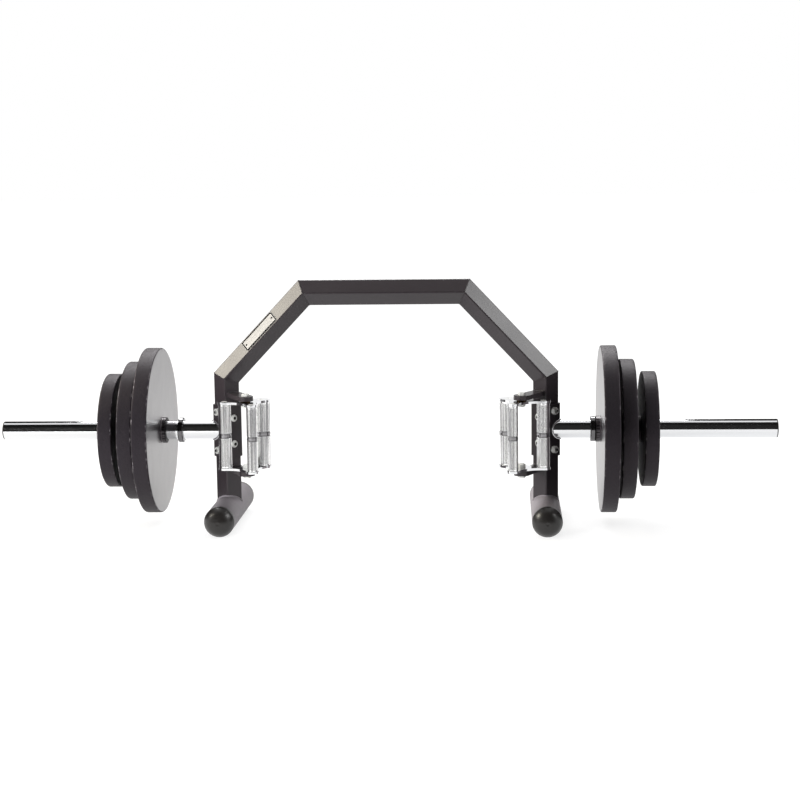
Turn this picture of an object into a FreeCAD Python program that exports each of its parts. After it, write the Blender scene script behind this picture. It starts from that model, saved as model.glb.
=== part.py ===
"""Open trap bar: a half-octagon frame of square tube on two round feet, with a loaded sleeve on each leg
and a turning cage of three grips inside each leg.

Frame of the part: origin on the floor, midway between the legs. X runs along the sleeves, Z is up, and the
lifter's front is -Y. The right-hand side is built and then mirrored in the plane X = 0.
"""
import FreeCAD, Part
import math
import os

Vector = FreeCAD.Vector

# Frame of square tube, set on edge
tube_side = 50.0
tube_wall = 3.0
tube_inner_corner_radius = 1.0
leg_spacing = 864.0            # between the axes of the two legs
bend_run = 216.0               # sideways run of a diagonal
bend_rise = 229.0              # and its rise
bend_clearance = 37.0          # from the upper bracket's top up to the axis of the lower bend

# Feet
foot_diameter = 80.0
foot_wall = 3.0
foot_tube_length = 340.0
foot_cap_rim = 14.0            # straight rim of a cap, outside its tube
foot_cap_dome = 28.0           # rise of the cap beyond its rim
foot_cap_plug_depth = 22.0
foot_cap_plug_wall = 4.0

# Sleeves
sleeve_diameter = 50.0
sleeve_wall = 4.0
sleeve_length = 618.0          # from the axis of the leg to the tip
sleeve_plug_flange = 3.0
sleeve_plug_depth = 25.0
sleeve_plug_edge_radius = 1.2
stop_ring_diameter = 68.0
stop_ring_width = 14.0
stop_ring_from_leg = 119.0     # axis of the leg to the inner face of the ring
stop_ring_chamfer = 2.0

# Clamped joint between sleeve and leg
saddle_wall = 5.0
saddle_length = 142.0
saddle_split_gap = 8.0         # between the outer and the inner plate, at the ridges of the leg
front_nut_spacing = 105.0      # bolts whose nuts show on the front of the outer plate
front_head_spacing = 71.0      # bolts whose heads show on the front of the inner plate
clamp_bolt_diameter = 10.0
clamp_hole_clearance = 0.25    # radial
clamp_head_diameter = 20.0
clamp_head_height = 5.5
clamp_socket_flats = 9.0
clamp_socket_depth = 3.0
clamp_nut_flats = 17.0
clamp_nut_height = 8.0
clamp_washer_diameter = 20.0
clamp_washer_thickness = 1.6
clamp_thread_proud = 2.5

# Turning grip cages
cage_length = 184.0            # over both end plates
grip_circle_radius = 57.7      # from the pivot to the axis of each grip
grip_medium_diameter = 34.0
grip_thin_diameter = 28.0
grip_thick_diameter = 50.0
grip_rest_turn = 6.0           # degrees, how far the cage stands turned towards the front
grip_smooth_band = 8.0         # bare stretch between the two knurled halves
grip_groove_width = 1.6
grip_groove_depth = 1.0
end_plate_thickness = 6.0
end_plate_lobe_margin = 2.0    # of an end plate outside each grip
end_plate_hollow_radius = 60.0 # of the concave sides between the lobes
grip_screw_diameter = 8.0
grip_screw_head_diameter = 16.0
grip_screw_length = 26.0
grip_screw_socket_flats = 5.0
grip_screw_socket_depth = 2.5
grip_hole_spare_depth = 2.0    # of a tapped hole past the end of its screw

# Pivots of the cages
pivot_inward = 66.0            # from the axis of the leg to the pivot, sideways
pivot_forward = 105.0          # and towards the front
pivot_bolt_diameter = 12.0
pivot_running_clearance = 0.05 # radial, bolt in bush
pivot_hole_clearance = 0.2     # radial, bolt in bracket
pivot_head_flats = 18.0
pivot_head_height = 6.5
pivot_nut_height = 9.0
pivot_lock_nut_height = 6.0    # clamps the bolt to its bracket
pivot_thread_proud = 1.5
pivot_end_float = 0.3          # free play of the cage at each face that it could rub on
bush_wall = 3.0
bush_flange_width = 4.0
bush_flange_thickness = 2.5
bracket_thickness = 12.0
bracket_tip_radius = 21.0
bracket_pocket_radius = 13.0   # round pocket that the lock nut sits in
bracket_root_margin = 3.0      # from the edge of the leg's flat to the edge of the bracket

# Weight plates
plate_bore_clearance = 0.3     # radial, plate on sleeve
plate_floor_clearance = 33.0   # under the large plates
plate_gap = 0.5                # left between plates that are pushed together
plate_edge_radius = 4.0
plate_boss_diameter = 70.0
plate_boss_height = 12.0       # on the face towards the lifter
plate_hub_diameter = 90.0
plate_hub_recess = 5.0         # of the hub below the rim, on the outer face
plate_draft = 6.0              # sideways lean of the walls of the dish
plate_lip_radius = 2.0
large_plate_diameter = 450.0
large_plate_rim = 42.0         # thickness of the rim, along the sleeve
large_plate_rim_width = 26.0
large_plate_web = 14.0
medium_plate_diameter = 376.0
medium_plate_rim = 40.0
medium_plate_rim_width = 24.0
medium_plate_web = 13.0
small_plate_diameter = 310.0
small_plate_rim = 38.0
small_plate_rim_width = 21.0
small_plate_web = 12.0
small_plate_rest_gap = 13.0    # the small plate isn't pushed home
left_stack_offset = 33.0       # the left stack stands this far off its ring

# Blank plate on the left diagonal
name_plate_length = 119.0
name_plate_thickness = 1.0
name_plate_margin = 2.0        # from the edge of the tube's flat
name_plate_corner_radius = 3.0
rivet_diameter = 6.0
rivet_height = 1.4
rivet_from_end = 9.0

# Worked out from the sizes above
tube_corner_radius = tube_wall + tube_inner_corner_radius
tube_flat = tube_side - 2 * tube_corner_radius
sleeve_radius = sleeve_diameter / 2
foot_radius = foot_diameter / 2
sleeve_height = large_plate_diameter / 2 + plate_floor_clearance
bush_top = cage_length / 2 + bush_flange_thickness
bracket_seat = bush_top + pivot_end_float
pivot_head_seat = bracket_seat + bracket_thickness
bend_height = sleeve_height + pivot_head_seat + bend_clearance
crossbar_height = bend_height + bend_rise
leg_x = leg_spacing / 2
sleeve_tip_x = leg_x + sleeve_length
far = 4 * (leg_spacing + sleeve_length)   # larger than the whole bar

up = Vector(0, 0, 1)
front = Vector(0, -1, 0)
outward = Vector(1, 0, 0)
inward = Vector(-1, 0, 0)
diagonal_half = math.sqrt(0.5)
front_inner = (front + inward) * diagonal_half
front_outer = (front + outward) * diagonal_half
leg_axis_point = Vector(leg_x, 0, sleeve_height)
pivot_point = leg_axis_point + inward * pivot_inward + front * pivot_forward


# Shapes used by more than one piece

def rod(radius, start, end):
    """Solid cylinder between two points."""
    return Part.makeCylinder(radius, (end - start).Length, start, end - start)


def half_space(point, normal):
    """Everything on the side of a plane that its normal points to."""
    return Part.makeCylinder(far, far, point, normal)


def square_bar(side, corner_radius, start, end):
    """Solid square bar on edge between two points in the plane of the frame, with rounded ridges."""
    along = (end - start).normalize()
    across = along.cross(front)
    half_diagonal = side * diagonal_half
    corners = [start + way * half_diagonal for way in (across, front, -across, -front)]
    bar = Part.Face(Part.makePolygon(corners + corners[:1])).extrude(end - start)
    ridges = [edge for edge in bar.Edges if abs(edge.tangentAt(edge.FirstParameter).dot(along)) > 0.99]
    return bar.makeFillet(corner_radius, ridges)


def dome(radius, height, base, direction):
    """Cap of a sphere that stands on a flat round base."""
    sphere_radius = (radius ** 2 + height ** 2) / (2 * height)
    half_angle = math.atan2(radius, sphere_radius - height) / 2
    rim = Vector(radius, 0, 0)
    crown = up * height
    middle = Vector(sphere_radius * math.sin(half_angle), 0, 0)
    middle += up * (height - sphere_radius + sphere_radius * math.cos(half_angle))
    profile = Part.Wire([
        Part.LineSegment(Vector(), rim).toShape(),
        Part.Arc(rim, middle, crown).toShape(),
        Part.LineSegment(crown, Vector()).toShape(),
    ])
    cap = Part.Face(profile).revolve(Vector(), up, 360)
    cap.Placement = FreeCAD.Placement(base, FreeCAD.Rotation(up, direction))
    return cap


def hexagon(across_flats, base, direction, height):
    """Plain hexagonal prism."""
    corner_radius = across_flats / math.sqrt(3)
    prism = Part.Face(Part.makePolygon([
        Vector(corner_radius * math.cos(math.radians(60 * k)), corner_radius * math.sin(math.radians(60 * k)), 0)
        for k in range(7)
    ])).extrude(up * height)
    prism.Placement = FreeCAD.Placement(base, FreeCAD.Rotation(up, direction))
    return prism


def chamfered_hexagon(across_flats, base, direction, height):
    """Hexagonal head or nut whose far corners are turned off at 30 degrees."""
    top_radius = 0.48 * across_flats
    turned = Part.makeCone(top_radius + height * math.sqrt(3), top_radius, height, base, direction)
    return hexagon(across_flats, base, direction, height).common(turned)


def mirrored(shape):
    """The same piece on the left-hand side."""
    return shape.mirror(Vector(0, 0, 0), outward)


def save(node, *shapes):
    """Write one node, which holds every solid of the given shapes."""
    solids = [solid for shape in shapes for solid in shape.Solids]
    Part.makeCompound(solids).exportStep(os.path.join("parts", node + ".step"))


def save_pair(piece, *shapes):
    """Write a right-hand piece and its mirrored left-hand twin."""
    save("right_" + piece, *shapes)
    save("left_" + piece, *[mirrored(shape) for shape in shapes])


# Frame

def frame_tube(start, end):
    """Square tube on edge between two points, longer than needed by its own side at both ends."""
    spare = (end - start).normalize() * tube_side
    outside = square_bar(tube_side, tube_corner_radius, start - spare, end + spare)
    hollow_side = tube_side - 2 * tube_wall
    return outside.cut(square_bar(hollow_side, tube_inner_corner_radius, start - spare * 2, end + spare * 2))


def mitre(corner, way_in, way_out):
    """Plane of a mitred corner, as a point and a normal that points on along the path."""
    return corner, (way_in.normalize() + way_out.normalize()).normalize()


def clamp_bolt_lines():
    """Centre and direction, from head to nut, of the four bolts of the right-hand clamp."""
    lines = []
    for sign in (1, -1):
        lines.append((leg_axis_point + up * (sign * front_nut_spacing / 2), front_outer))
        lines.append((leg_axis_point + up * (sign * front_head_spacing / 2), -front_inner))
    return lines


def clamp_holes():
    """Clearance holes of the clamp's bolts, right through tube and plates."""
    radius = clamp_bolt_diameter / 2 + clamp_hole_clearance
    reach = tube_side + saddle_wall
    return [rod(radius, centre - way * reach, centre + way * reach) for centre, way in clamp_bolt_lines()]


def make_frame():
    """Crossbar, diagonals and legs, mitred at the bends, and legs coped onto the feet."""
    low_bend = Vector(leg_x, 0, bend_height)
    high_bend = Vector(leg_x - bend_run, 0, crossbar_height)
    far_high_bend = Vector(-high_bend.x, 0, crossbar_height)
    foot_axis = Vector(leg_x, 0, foot_radius)
    leg_to_diagonal = mitre(low_bend, low_bend - foot_axis, high_bend - low_bend)
    diagonal_to_crossbar = mitre(high_bend, high_bend - low_bend, far_high_bend - high_bend)

    leg = frame_tube(foot_axis, low_bend)
    leg = leg.cut(half_space(*leg_to_diagonal))
    leg = leg.cut(half_space(foot_axis, -up))
    leg = leg.cut(rod(foot_radius, foot_axis + front * far, foot_axis - front * far))
    for hole in clamp_holes():
        leg = leg.cut(hole)

    diagonal = frame_tube(low_bend, high_bend)
    diagonal = diagonal.cut(half_space(leg_to_diagonal[0], -leg_to_diagonal[1]))
    diagonal = diagonal.cut(half_space(*diagonal_to_crossbar))

    crossbar_end = half_space(diagonal_to_crossbar[0], -diagonal_to_crossbar[1])
    crossbar = frame_tube(high_bend, far_high_bend)
    crossbar = crossbar.cut(crossbar_end)
    crossbar = crossbar.cut(mirrored(crossbar_end))

    save("crossbar", crossbar)
    save_pair("diagonal", diagonal)
    save_pair("leg", leg)
    make_name_plate(mirrored_point(low_bend), mirrored_point(high_bend))


def mirrored_point(point):
    """The point's twin on the left-hand side."""
    return Vector(-point.x, point.y, point.z)


def make_name_plate(low_bend, high_bend):
    """Blank riveted plate on the outer front face of the left diagonal."""
    along = (high_bend - low_bend).normalize()
    away = along.cross(front)
    if away.z < 0:
        away = -away
    normal = (away + front) * diagonal_half
    across = normal.cross(along)
    width = tube_flat - 2 * name_plate_margin
    seat = (low_bend + high_bend) / 2 + normal * (tube_side / 2)
    plate = Part.makeBox(name_plate_length, width, name_plate_thickness)
    uprights = [edge for edge in plate.Edges if abs(edge.tangentAt(edge.FirstParameter).dot(up)) > 0.99]
    plate = plate.makeFillet(name_plate_corner_radius, uprights)
    turn = FreeCAD.Rotation(along, across, normal, "ZXY")
    plate.Placement = FreeCAD.Placement(seat - along * (name_plate_length / 2) - across * (width / 2), turn)
    top = seat + normal * name_plate_thickness
    rivet_reach = name_plate_length / 2 - rivet_from_end
    rivets = [dome(rivet_diameter / 2, rivet_height, top + along * (sign * rivet_reach), normal) for sign in (1, -1)]
    save("name_plate", plate)
    save("name_plate_rivets", *rivets)


# Feet

def make_feet():
    """Round foot tube under each leg, with a domed plug in each end."""
    centre = Vector(leg_x, 0, foot_radius)
    end = front * (foot_tube_length / 2)
    tube = rod(foot_radius, centre + end, centre - end)
    tube = tube.cut(rod(foot_radius - foot_wall, centre + end * 2, centre - end * 2))
    save_pair("foot_tube", tube)
    caps = []
    for way in (front, -front):
        mouth = centre + way * (foot_tube_length / 2)
        rim_end = mouth + way * foot_cap_rim
        plug_radius = foot_radius - foot_wall
        plug = rod(plug_radius, mouth - way * foot_cap_plug_depth, mouth)
        plug = plug.cut(rod(plug_radius - foot_cap_plug_wall, mouth - way * (foot_cap_plug_depth * 2), mouth))
        cap = dome(foot_radius, foot_cap_dome, rim_end, way).fuse(rod(foot_radius, mouth, rim_end))
        caps.append(cap.fuse(plug))
    save_pair("foot_caps", *caps)


# Sleeves and their clamps

def saddle_form(side, corner_radius):
    """Square form on edge round the leg, as long as the clamp plates."""
    half = up * (saddle_length / 2)
    return square_bar(side, corner_radius, leg_axis_point - half, leg_axis_point + half)


def make_clamps():
    """Outer plate that carries the sleeve, inner plate that backs it, and their four bolts."""
    outside = saddle_form(tube_side + 2 * saddle_wall, tube_corner_radius + saddle_wall)
    jacket = outside.cut(saddle_form(tube_side, tube_corner_radius))
    for hole in clamp_holes():
        jacket = jacket.cut(hole)
    split = saddle_split_gap / 2
    save_pair("sleeve_saddle", jacket.common(half_space(leg_axis_point + outward * split, outward)))
    save_pair("backing_plate", jacket.common(half_space(leg_axis_point + inward * split, inward)))

    face = tube_side / 2 + saddle_wall
    bolts = []
    nuts = []
    washers = []
    for centre, way in clamp_bolt_lines():
        head_seat = centre - way * face
        nut_seat = centre + way * (face + clamp_washer_thickness)
        shank_radius = clamp_bolt_diameter / 2
        shank_end = nut_seat + way * (clamp_nut_height + clamp_thread_proud)
        head = dome(clamp_head_diameter / 2, clamp_head_height, head_seat, -way)
        head_top = head_seat - way * clamp_head_height
        socket = hexagon(clamp_socket_flats, head_top, way, clamp_socket_depth)
        bolts.append(head.cut(socket).fuse(rod(shank_radius, head_seat, shank_end)))
        bore = rod(shank_radius, centre, shank_end)
        nuts.append(chamfered_hexagon(clamp_nut_flats, nut_seat, way, clamp_nut_height).cut(bore))
        washers.append(rod(clamp_washer_diameter / 2, centre + way * face, nut_seat).cut(bore))
    save_pair("clamp_bolts", *bolts)
    save_pair("clamp_nuts", *nuts)
    save_pair("clamp_washers", *washers)


def make_sleeves():
    """Sleeve tube coped onto the outer plate, its stop ring and the plug in its tip."""
    mouth = Vector(sleeve_tip_x - sleeve_plug_flange, 0, sleeve_height)
    tip = Vector(sleeve_tip_x, 0, sleeve_height)
    bore_radius = sleeve_radius - sleeve_wall
    saddle_outside = saddle_form(tube_side + 2 * saddle_wall, tube_corner_radius + saddle_wall)
    sleeve = rod(sleeve_radius, leg_axis_point, mouth).cut(rod(bore_radius, leg_axis_point, mouth))
    save_pair("sleeve", sleeve.cut(saddle_outside))

    ring_inner = leg_axis_point + outward * stop_ring_from_leg
    ring_outer = ring_inner + outward * stop_ring_width
    ring = rod(stop_ring_diameter / 2, ring_inner, ring_outer)
    ring = ring.makeChamfer(stop_ring_chamfer, round_edges(ring, stop_ring_diameter / 2))
    save_pair("stop_ring", ring.cut(rod(sleeve_radius, leg_axis_point, mouth)))

    flange = rod(sleeve_radius, mouth, tip)
    outer_edge = [edge for edge in round_edges(flange, sleeve_radius) if edge.CenterOfMass.x > mouth.x]
    flange = flange.makeFillet(sleeve_plug_edge_radius, outer_edge)
    spigot = rod(bore_radius, mouth - outward * sleeve_plug_depth, mouth)
    save_pair("sleeve_plug", flange.fuse(spigot))


def round_edges(shape, radius):
    """The full circles of one radius on a shape."""
    circles = [edge for edge in shape.Edges if isinstance(edge.Curve, Part.Circle)]
    return [edge for edge in circles if abs(edge.Curve.Radius - radius) < 1e-6]


# Grip cages

def cage_direction(angle):
    """Direction from the pivot at an angle from straight inward, turned towards the front."""
    turn = math.radians(angle + grip_rest_turn)
    return inward * math.cos(turn) + front * math.sin(turn)


def grips():
    """Name, diameter and axis point at mid height of each grip."""
    layout = (
        ("thin", grip_thin_diameter, 60),
        ("medium", grip_medium_diameter, 180),
        ("thick", grip_thick_diameter, 300),
    )
    return [(name, size, pivot_point + cage_direction(angle) * grip_circle_radius) for name, size, angle in layout]


def lobed_outline():
    """Outline of an end plate at mid height: a lobe round each grip, joined by hollow sides."""
    lobes = [(centre, size / 2 + end_plate_lobe_margin) for _, size, centre in grips()]
    joins = []
    for index, (centre, radius) in enumerate(lobes):
        next_centre, next_radius = lobes[(index + 1) % len(lobes)]
        reach = radius + end_plate_hollow_radius
        next_reach = next_radius + end_plate_hollow_radius
        span = (next_centre - centre).Length
        along = (next_centre - centre).normalize()
        across = along.cross(up)
        if across.dot(centre - pivot_point) < 0:
            across = -across
        offset = (reach ** 2 - next_reach ** 2 + span ** 2) / (2 * span)
        hollow = centre + along * offset + across * math.sqrt(reach ** 2 - offset ** 2)
        leave = centre + (hollow - centre).normalize() * radius
        arrive = next_centre + (hollow - next_centre).normalize() * next_radius
        to_plate = ((leave + arrive) / 2 - hollow).normalize()
        joins.append((leave, hollow + to_plate * end_plate_hollow_radius, arrive))
    edges = []
    for index, (centre, radius) in enumerate(lobes):
        arrive = joins[index - 1][2]
        leave, middle, far_end = joins[index]
        crown = centre + (centre - pivot_point).normalize() * radius
        edges.append(Part.Arc(arrive, crown, leave).toShape())
        edges.append(Part.Arc(leave, middle, far_end).toShape())
    return Part.Wire(edges)


def grip_screw(face_point, way):
    """Countersunk screw whose flat head lies flush in an end plate, driven along way."""
    head_radius = grip_screw_head_diameter / 2
    shank_radius = grip_screw_diameter / 2
    head_height = head_radius - shank_radius
    head = Part.makeCone(head_radius, shank_radius, head_height, face_point, way)
    return head.fuse(rod(shank_radius, face_point + way * head_height, face_point + way * grip_screw_length))


def make_cages():
    """End plates, grips, screws and bushes that turn about the pivot."""
    half_cage = cage_length / 2
    half_grip = half_cage - end_plate_thickness
    bush_bore = pivot_bolt_diameter / 2 + pivot_running_clearance
    bush_radius = bush_bore + bush_wall
    plain_plate = Part.Face(lobed_outline())
    screws = []
    bushes = []
    for name, way in (("upper", up), ("lower", -up)):
        outer_face = pivot_point + way * half_cage
        inner_face = outer_face - way * end_plate_thickness
        plate = plain_plate.extrude(up * end_plate_thickness)
        plate.translate(up * (min(outer_face.z, inner_face.z) - pivot_point.z))
        plate = plate.cut(rod(bush_radius, inner_face, outer_face))
        for _, _, centre in grips():
            screw = grip_screw(centre + way * half_cage, -way)
            plate = plate.cut(screw)
            socket = hexagon(grip_screw_socket_flats, centre + way * half_cage, -way, grip_screw_socket_depth)
            screws.append(screw.cut(socket))
        save_pair(name + "_end_plate", plate)
        flange_top = outer_face + way * bush_flange_thickness
        flange = rod(bush_radius + bush_flange_width, outer_face, flange_top)
        bush = flange.fuse(rod(bush_radius, inner_face, outer_face))
        bushes.append(bush.cut(rod(bush_bore, inner_face, flange_top)))
    save_pair("grip_screws", *screws)
    save_pair("pivot_bushes", *bushes)

    tapped_depth = grip_screw_length - end_plate_thickness + grip_hole_spare_depth
    for name, size, centre in grips():
        grip = rod(size / 2, centre - up * half_grip, centre + up * half_grip)
        for way in (up, -up):
            end = centre + way * half_grip
            grip = grip.cut(rod(grip_screw_diameter / 2, end - way * tapped_depth, end))
            groove_start = centre + way * (grip_smooth_band / 2)
            groove = rod(size / 2, groove_start, groove_start + way * grip_groove_width)
            floor = rod(size / 2 - grip_groove_depth, groove_start, groove_start + way * grip_groove_width)
            grip = grip.cut(groove.cut(floor))
        save_pair(name + "_grip", grip)


# Brackets and pivots

def tangent_point(point, centre, radius, reference):
    """Where a line from a point touches a circle seen from above, on the side nearer to the reference point."""
    reach = (centre - point).Length
    towards = (point - centre).normalize()
    swing = math.degrees(math.acos(radius / reach))
    choices = [centre + FreeCAD.Rotation(up, sign * swing).multVec(towards) * radius for sign in (1, -1)]
    return min(choices, key=lambda choice: (choice - reference).Length)


def bracket_outline(level):
    """Tapered tab from the inner front face of the leg to a round tip about the pivot."""
    root = Vector(leg_x, 0, level) + front_inner * (tube_side / 2)
    half_root = front_outer * (tube_flat / 2 - bracket_root_margin)
    tip = Vector(pivot_point.x, pivot_point.y, level)
    root_a = root + half_root
    root_b = root - half_root
    touch_a = tangent_point(root_a, tip, bracket_tip_radius, root_a + (tip - root))
    touch_b = tangent_point(root_b, tip, bracket_tip_radius, root_b + (tip - root))
    crown = tip + (tip - root).normalize() * bracket_tip_radius
    return Part.Wire([
        Part.LineSegment(root_b, root_a).toShape(),
        Part.LineSegment(root_a, touch_a).toShape(),
        Part.Arc(touch_a, crown, touch_b).toShape(),
        Part.LineSegment(touch_b, root_b).toShape(),
    ])


def make_pivots():
    """Bracket above and below each cage, a bolt locked into its pocket, and a nut inside that keeps the cage."""
    shank_radius = pivot_bolt_diameter / 2
    bolts = []
    lock_nuts = []
    nuts = []
    for name, way in (("upper", up), ("lower", -up)):
        head_seat = pivot_point + way * pivot_head_seat
        bracket_face = pivot_point + way * bracket_seat
        bracket = Part.Face(bracket_outline(min(head_seat.z, bracket_face.z))).extrude(up * bracket_thickness)
        bracket = bracket.cut(rod(shank_radius + pivot_hole_clearance, bracket_face, head_seat))
        pocket_floor = bracket_face + way * pivot_lock_nut_height
        bracket = bracket.cut(rod(bracket_pocket_radius, bracket_face, pocket_floor))
        save_pair(name + "_bracket", bracket)
        nut_seat = pivot_point + way * (cage_length / 2 - end_plate_thickness - pivot_end_float)
        shank_end = nut_seat - way * (pivot_nut_height + pivot_thread_proud)
        head = chamfered_hexagon(pivot_head_flats, head_seat, way, pivot_head_height)
        bolts.append(head.fuse(rod(shank_radius, shank_end, head_seat)))
        shank = rod(shank_radius, shank_end, head_seat)
        nuts.append(chamfered_hexagon(pivot_head_flats, nut_seat, -way, pivot_nut_height).cut(shank))
        lock_nut = chamfered_hexagon(pivot_head_flats, pocket_floor, -way, pivot_lock_nut_height)
        lock_nuts.append(lock_nut.cut(shank))
    save_pair("pivot_bolts", *bolts)
    save_pair("pivot_lock_nuts", *lock_nuts)
    save_pair("pivot_nuts", *nuts)


# Weight plates

def weight_plate(boss_face_x, diameter, rim, rim_width, web):
    """Dished plate on the right-hand sleeve, flat towards the lifter, with its boss face at boss_face_x."""
    radius = diameter / 2
    bore_radius = sleeve_radius + plate_bore_clearance
    hub_radius = plate_hub_diameter / 2
    rim_in = plate_boss_height
    rim_out = rim_in + rim
    web_out = rim_in + web
    hub_out = rim_out - plate_hub_recess
    outline = (
        (0, bore_radius),
        (0, plate_boss_diameter / 2),
        (rim_in, plate_boss_diameter / 2),
        (rim_in, radius),
        (rim_out, radius),
        (rim_out, radius - rim_width),
        (web_out, radius - rim_width - plate_draft),
        (web_out, hub_radius + plate_draft),
        (hub_out, hub_radius),
        (hub_out, bore_radius),
    )
    points = [Vector(boss_face_x + step, 0, sleeve_height + height) for step, height in outline]
    profile = Part.Face(Part.makePolygon(points + points[:1]))
    plate = profile.revolve(Vector(0, 0, sleeve_height), outward, 360)
    plate = plate.makeFillet(plate_edge_radius, round_edges(plate, radius))
    plate = plate.makeFillet(plate_lip_radius, round_edges(plate, radius - rim_width))
    return plate


def make_stack(stack_offset):
    """Large, medium and small plate, the large one stack_offset away from the stop ring."""
    sizes = (
        ("large", large_plate_diameter, large_plate_rim, large_plate_rim_width, large_plate_web, stack_offset),
        ("medium", medium_plate_diameter, medium_plate_rim, medium_plate_rim_width, medium_plate_web, plate_gap),
        ("small", small_plate_diameter, small_plate_rim, small_plate_rim_width, small_plate_web,
         small_plate_rest_gap),
    )
    seat = leg_x + stop_ring_from_leg + stop_ring_width
    stack = []
    for name, diameter, rim, rim_width, web, gap in sizes:
        boss_face = seat + gap
        stack.append((name + "_plate", weight_plate(boss_face, diameter, rim, rim_width, web)))
        seat = boss_face + plate_boss_height + rim - plate_hub_recess
    return stack


def make_plates():
    """The right stack stands against its ring, and the left one a little way off."""
    for node, plate in make_stack(plate_gap):
        save("right_" + node, plate)
    for node, plate in make_stack(left_stack_offset):
        save("left_" + node, mirrored(plate))


os.makedirs("parts", exist_ok=True)
make_frame()
make_feet()
make_clamps()
make_sleeves()
make_cages()
make_pivots()
make_plates()
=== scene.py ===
"""Looks of an open trap bar: weld beads, knurled grips, cast plates and finishes round the packed frame.

Every length is in metres, in the frame of the part: X along the sleeves, Z up, and -Y to the front.
"""
import functools
import math

import bmesh
import bpy
from bpy.props import FloatProperty, FloatVectorProperty, PointerProperty
from bpy.types import Operator, Panel, PropertyGroup
from mathutils import Matrix, Vector, noise


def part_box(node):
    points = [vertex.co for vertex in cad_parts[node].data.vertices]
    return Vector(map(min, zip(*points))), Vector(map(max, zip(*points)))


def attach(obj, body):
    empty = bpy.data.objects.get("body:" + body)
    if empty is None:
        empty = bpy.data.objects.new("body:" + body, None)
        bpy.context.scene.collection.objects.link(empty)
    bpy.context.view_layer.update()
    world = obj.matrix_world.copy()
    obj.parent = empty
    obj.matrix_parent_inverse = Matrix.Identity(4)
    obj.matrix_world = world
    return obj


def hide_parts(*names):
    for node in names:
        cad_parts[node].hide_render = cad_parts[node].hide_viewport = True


bl_info = {
    "name": "Trap Bar Looks",
    "version": (1, 0, 0),
    "blender": (4, 5, 0),
    "location": "3D View > Sidebar > Trap Bar",
    "description": "Finishes and fine pieces of a trap bar with turning grip cages and weight plates",
    "category": "Object",
}

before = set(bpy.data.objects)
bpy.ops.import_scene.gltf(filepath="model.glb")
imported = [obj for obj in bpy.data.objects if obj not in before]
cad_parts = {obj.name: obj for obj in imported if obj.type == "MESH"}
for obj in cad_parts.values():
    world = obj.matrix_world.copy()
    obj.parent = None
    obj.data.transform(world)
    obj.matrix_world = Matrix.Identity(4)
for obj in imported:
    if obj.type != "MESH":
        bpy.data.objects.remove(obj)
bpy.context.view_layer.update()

SIDES = {"left": -1.0, "right": 1.0}
GRIP_KINDS = ("thin", "medium", "thick")
PLATE_KINDS = ("large", "medium", "small")
UP = Vector((0, 0, 1))
FRONT = Vector((0, -1, 0))
HALF_DIAGONAL = math.sqrt(0.5)


def linear(hex_colour):
    """Linear colour of an sRGB hex value."""
    channels = [int(hex_colour[place:place + 2], 16) / 255 for place in (0, 2, 4)]
    light = [c / 12.92 if c <= 0.04045 else ((c + 0.055) / 1.055) ** 2.4 for c in channels]
    return (*light, 1.0)


def centre_of(node):
    """Middle of the box of a frame node."""
    low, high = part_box(node)
    return (low + high) / 2


# Places that the frame gives
LEG_X = centre_of("right_leg").x
SLEEVE_HEIGHT = centre_of("right_sleeve").z
CROSSBAR_HEIGHT = centre_of("crossbar").z
FOOT_RADIUS = centre_of("right_foot_tube").z
FOOT_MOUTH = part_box("right_foot_tube")[1].y
FOOT_CAP_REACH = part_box("right_foot_caps")[1].y - FOOT_MOUTH


# Sizes and colours that a user would change

def length_property(label, description, default):
    """A length of the model, in metres."""
    return FloatProperty(name=label, description=description, default=default, unit="LENGTH", precision=5)


def colour_property(label, description, hex_colour):
    """A colour, given as its sRGB hex value."""
    return FloatVectorProperty(
        name=label, description=description, default=linear(hex_colour), min=0, max=1,
        subtype="COLOR", size=4)


def light_property(label, description, default):
    """Brightness of a light's own surface, where the white of the picture is 1."""
    return FloatProperty(name=label, description=description, default=default, min=0, subtype="UNSIGNED")


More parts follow.
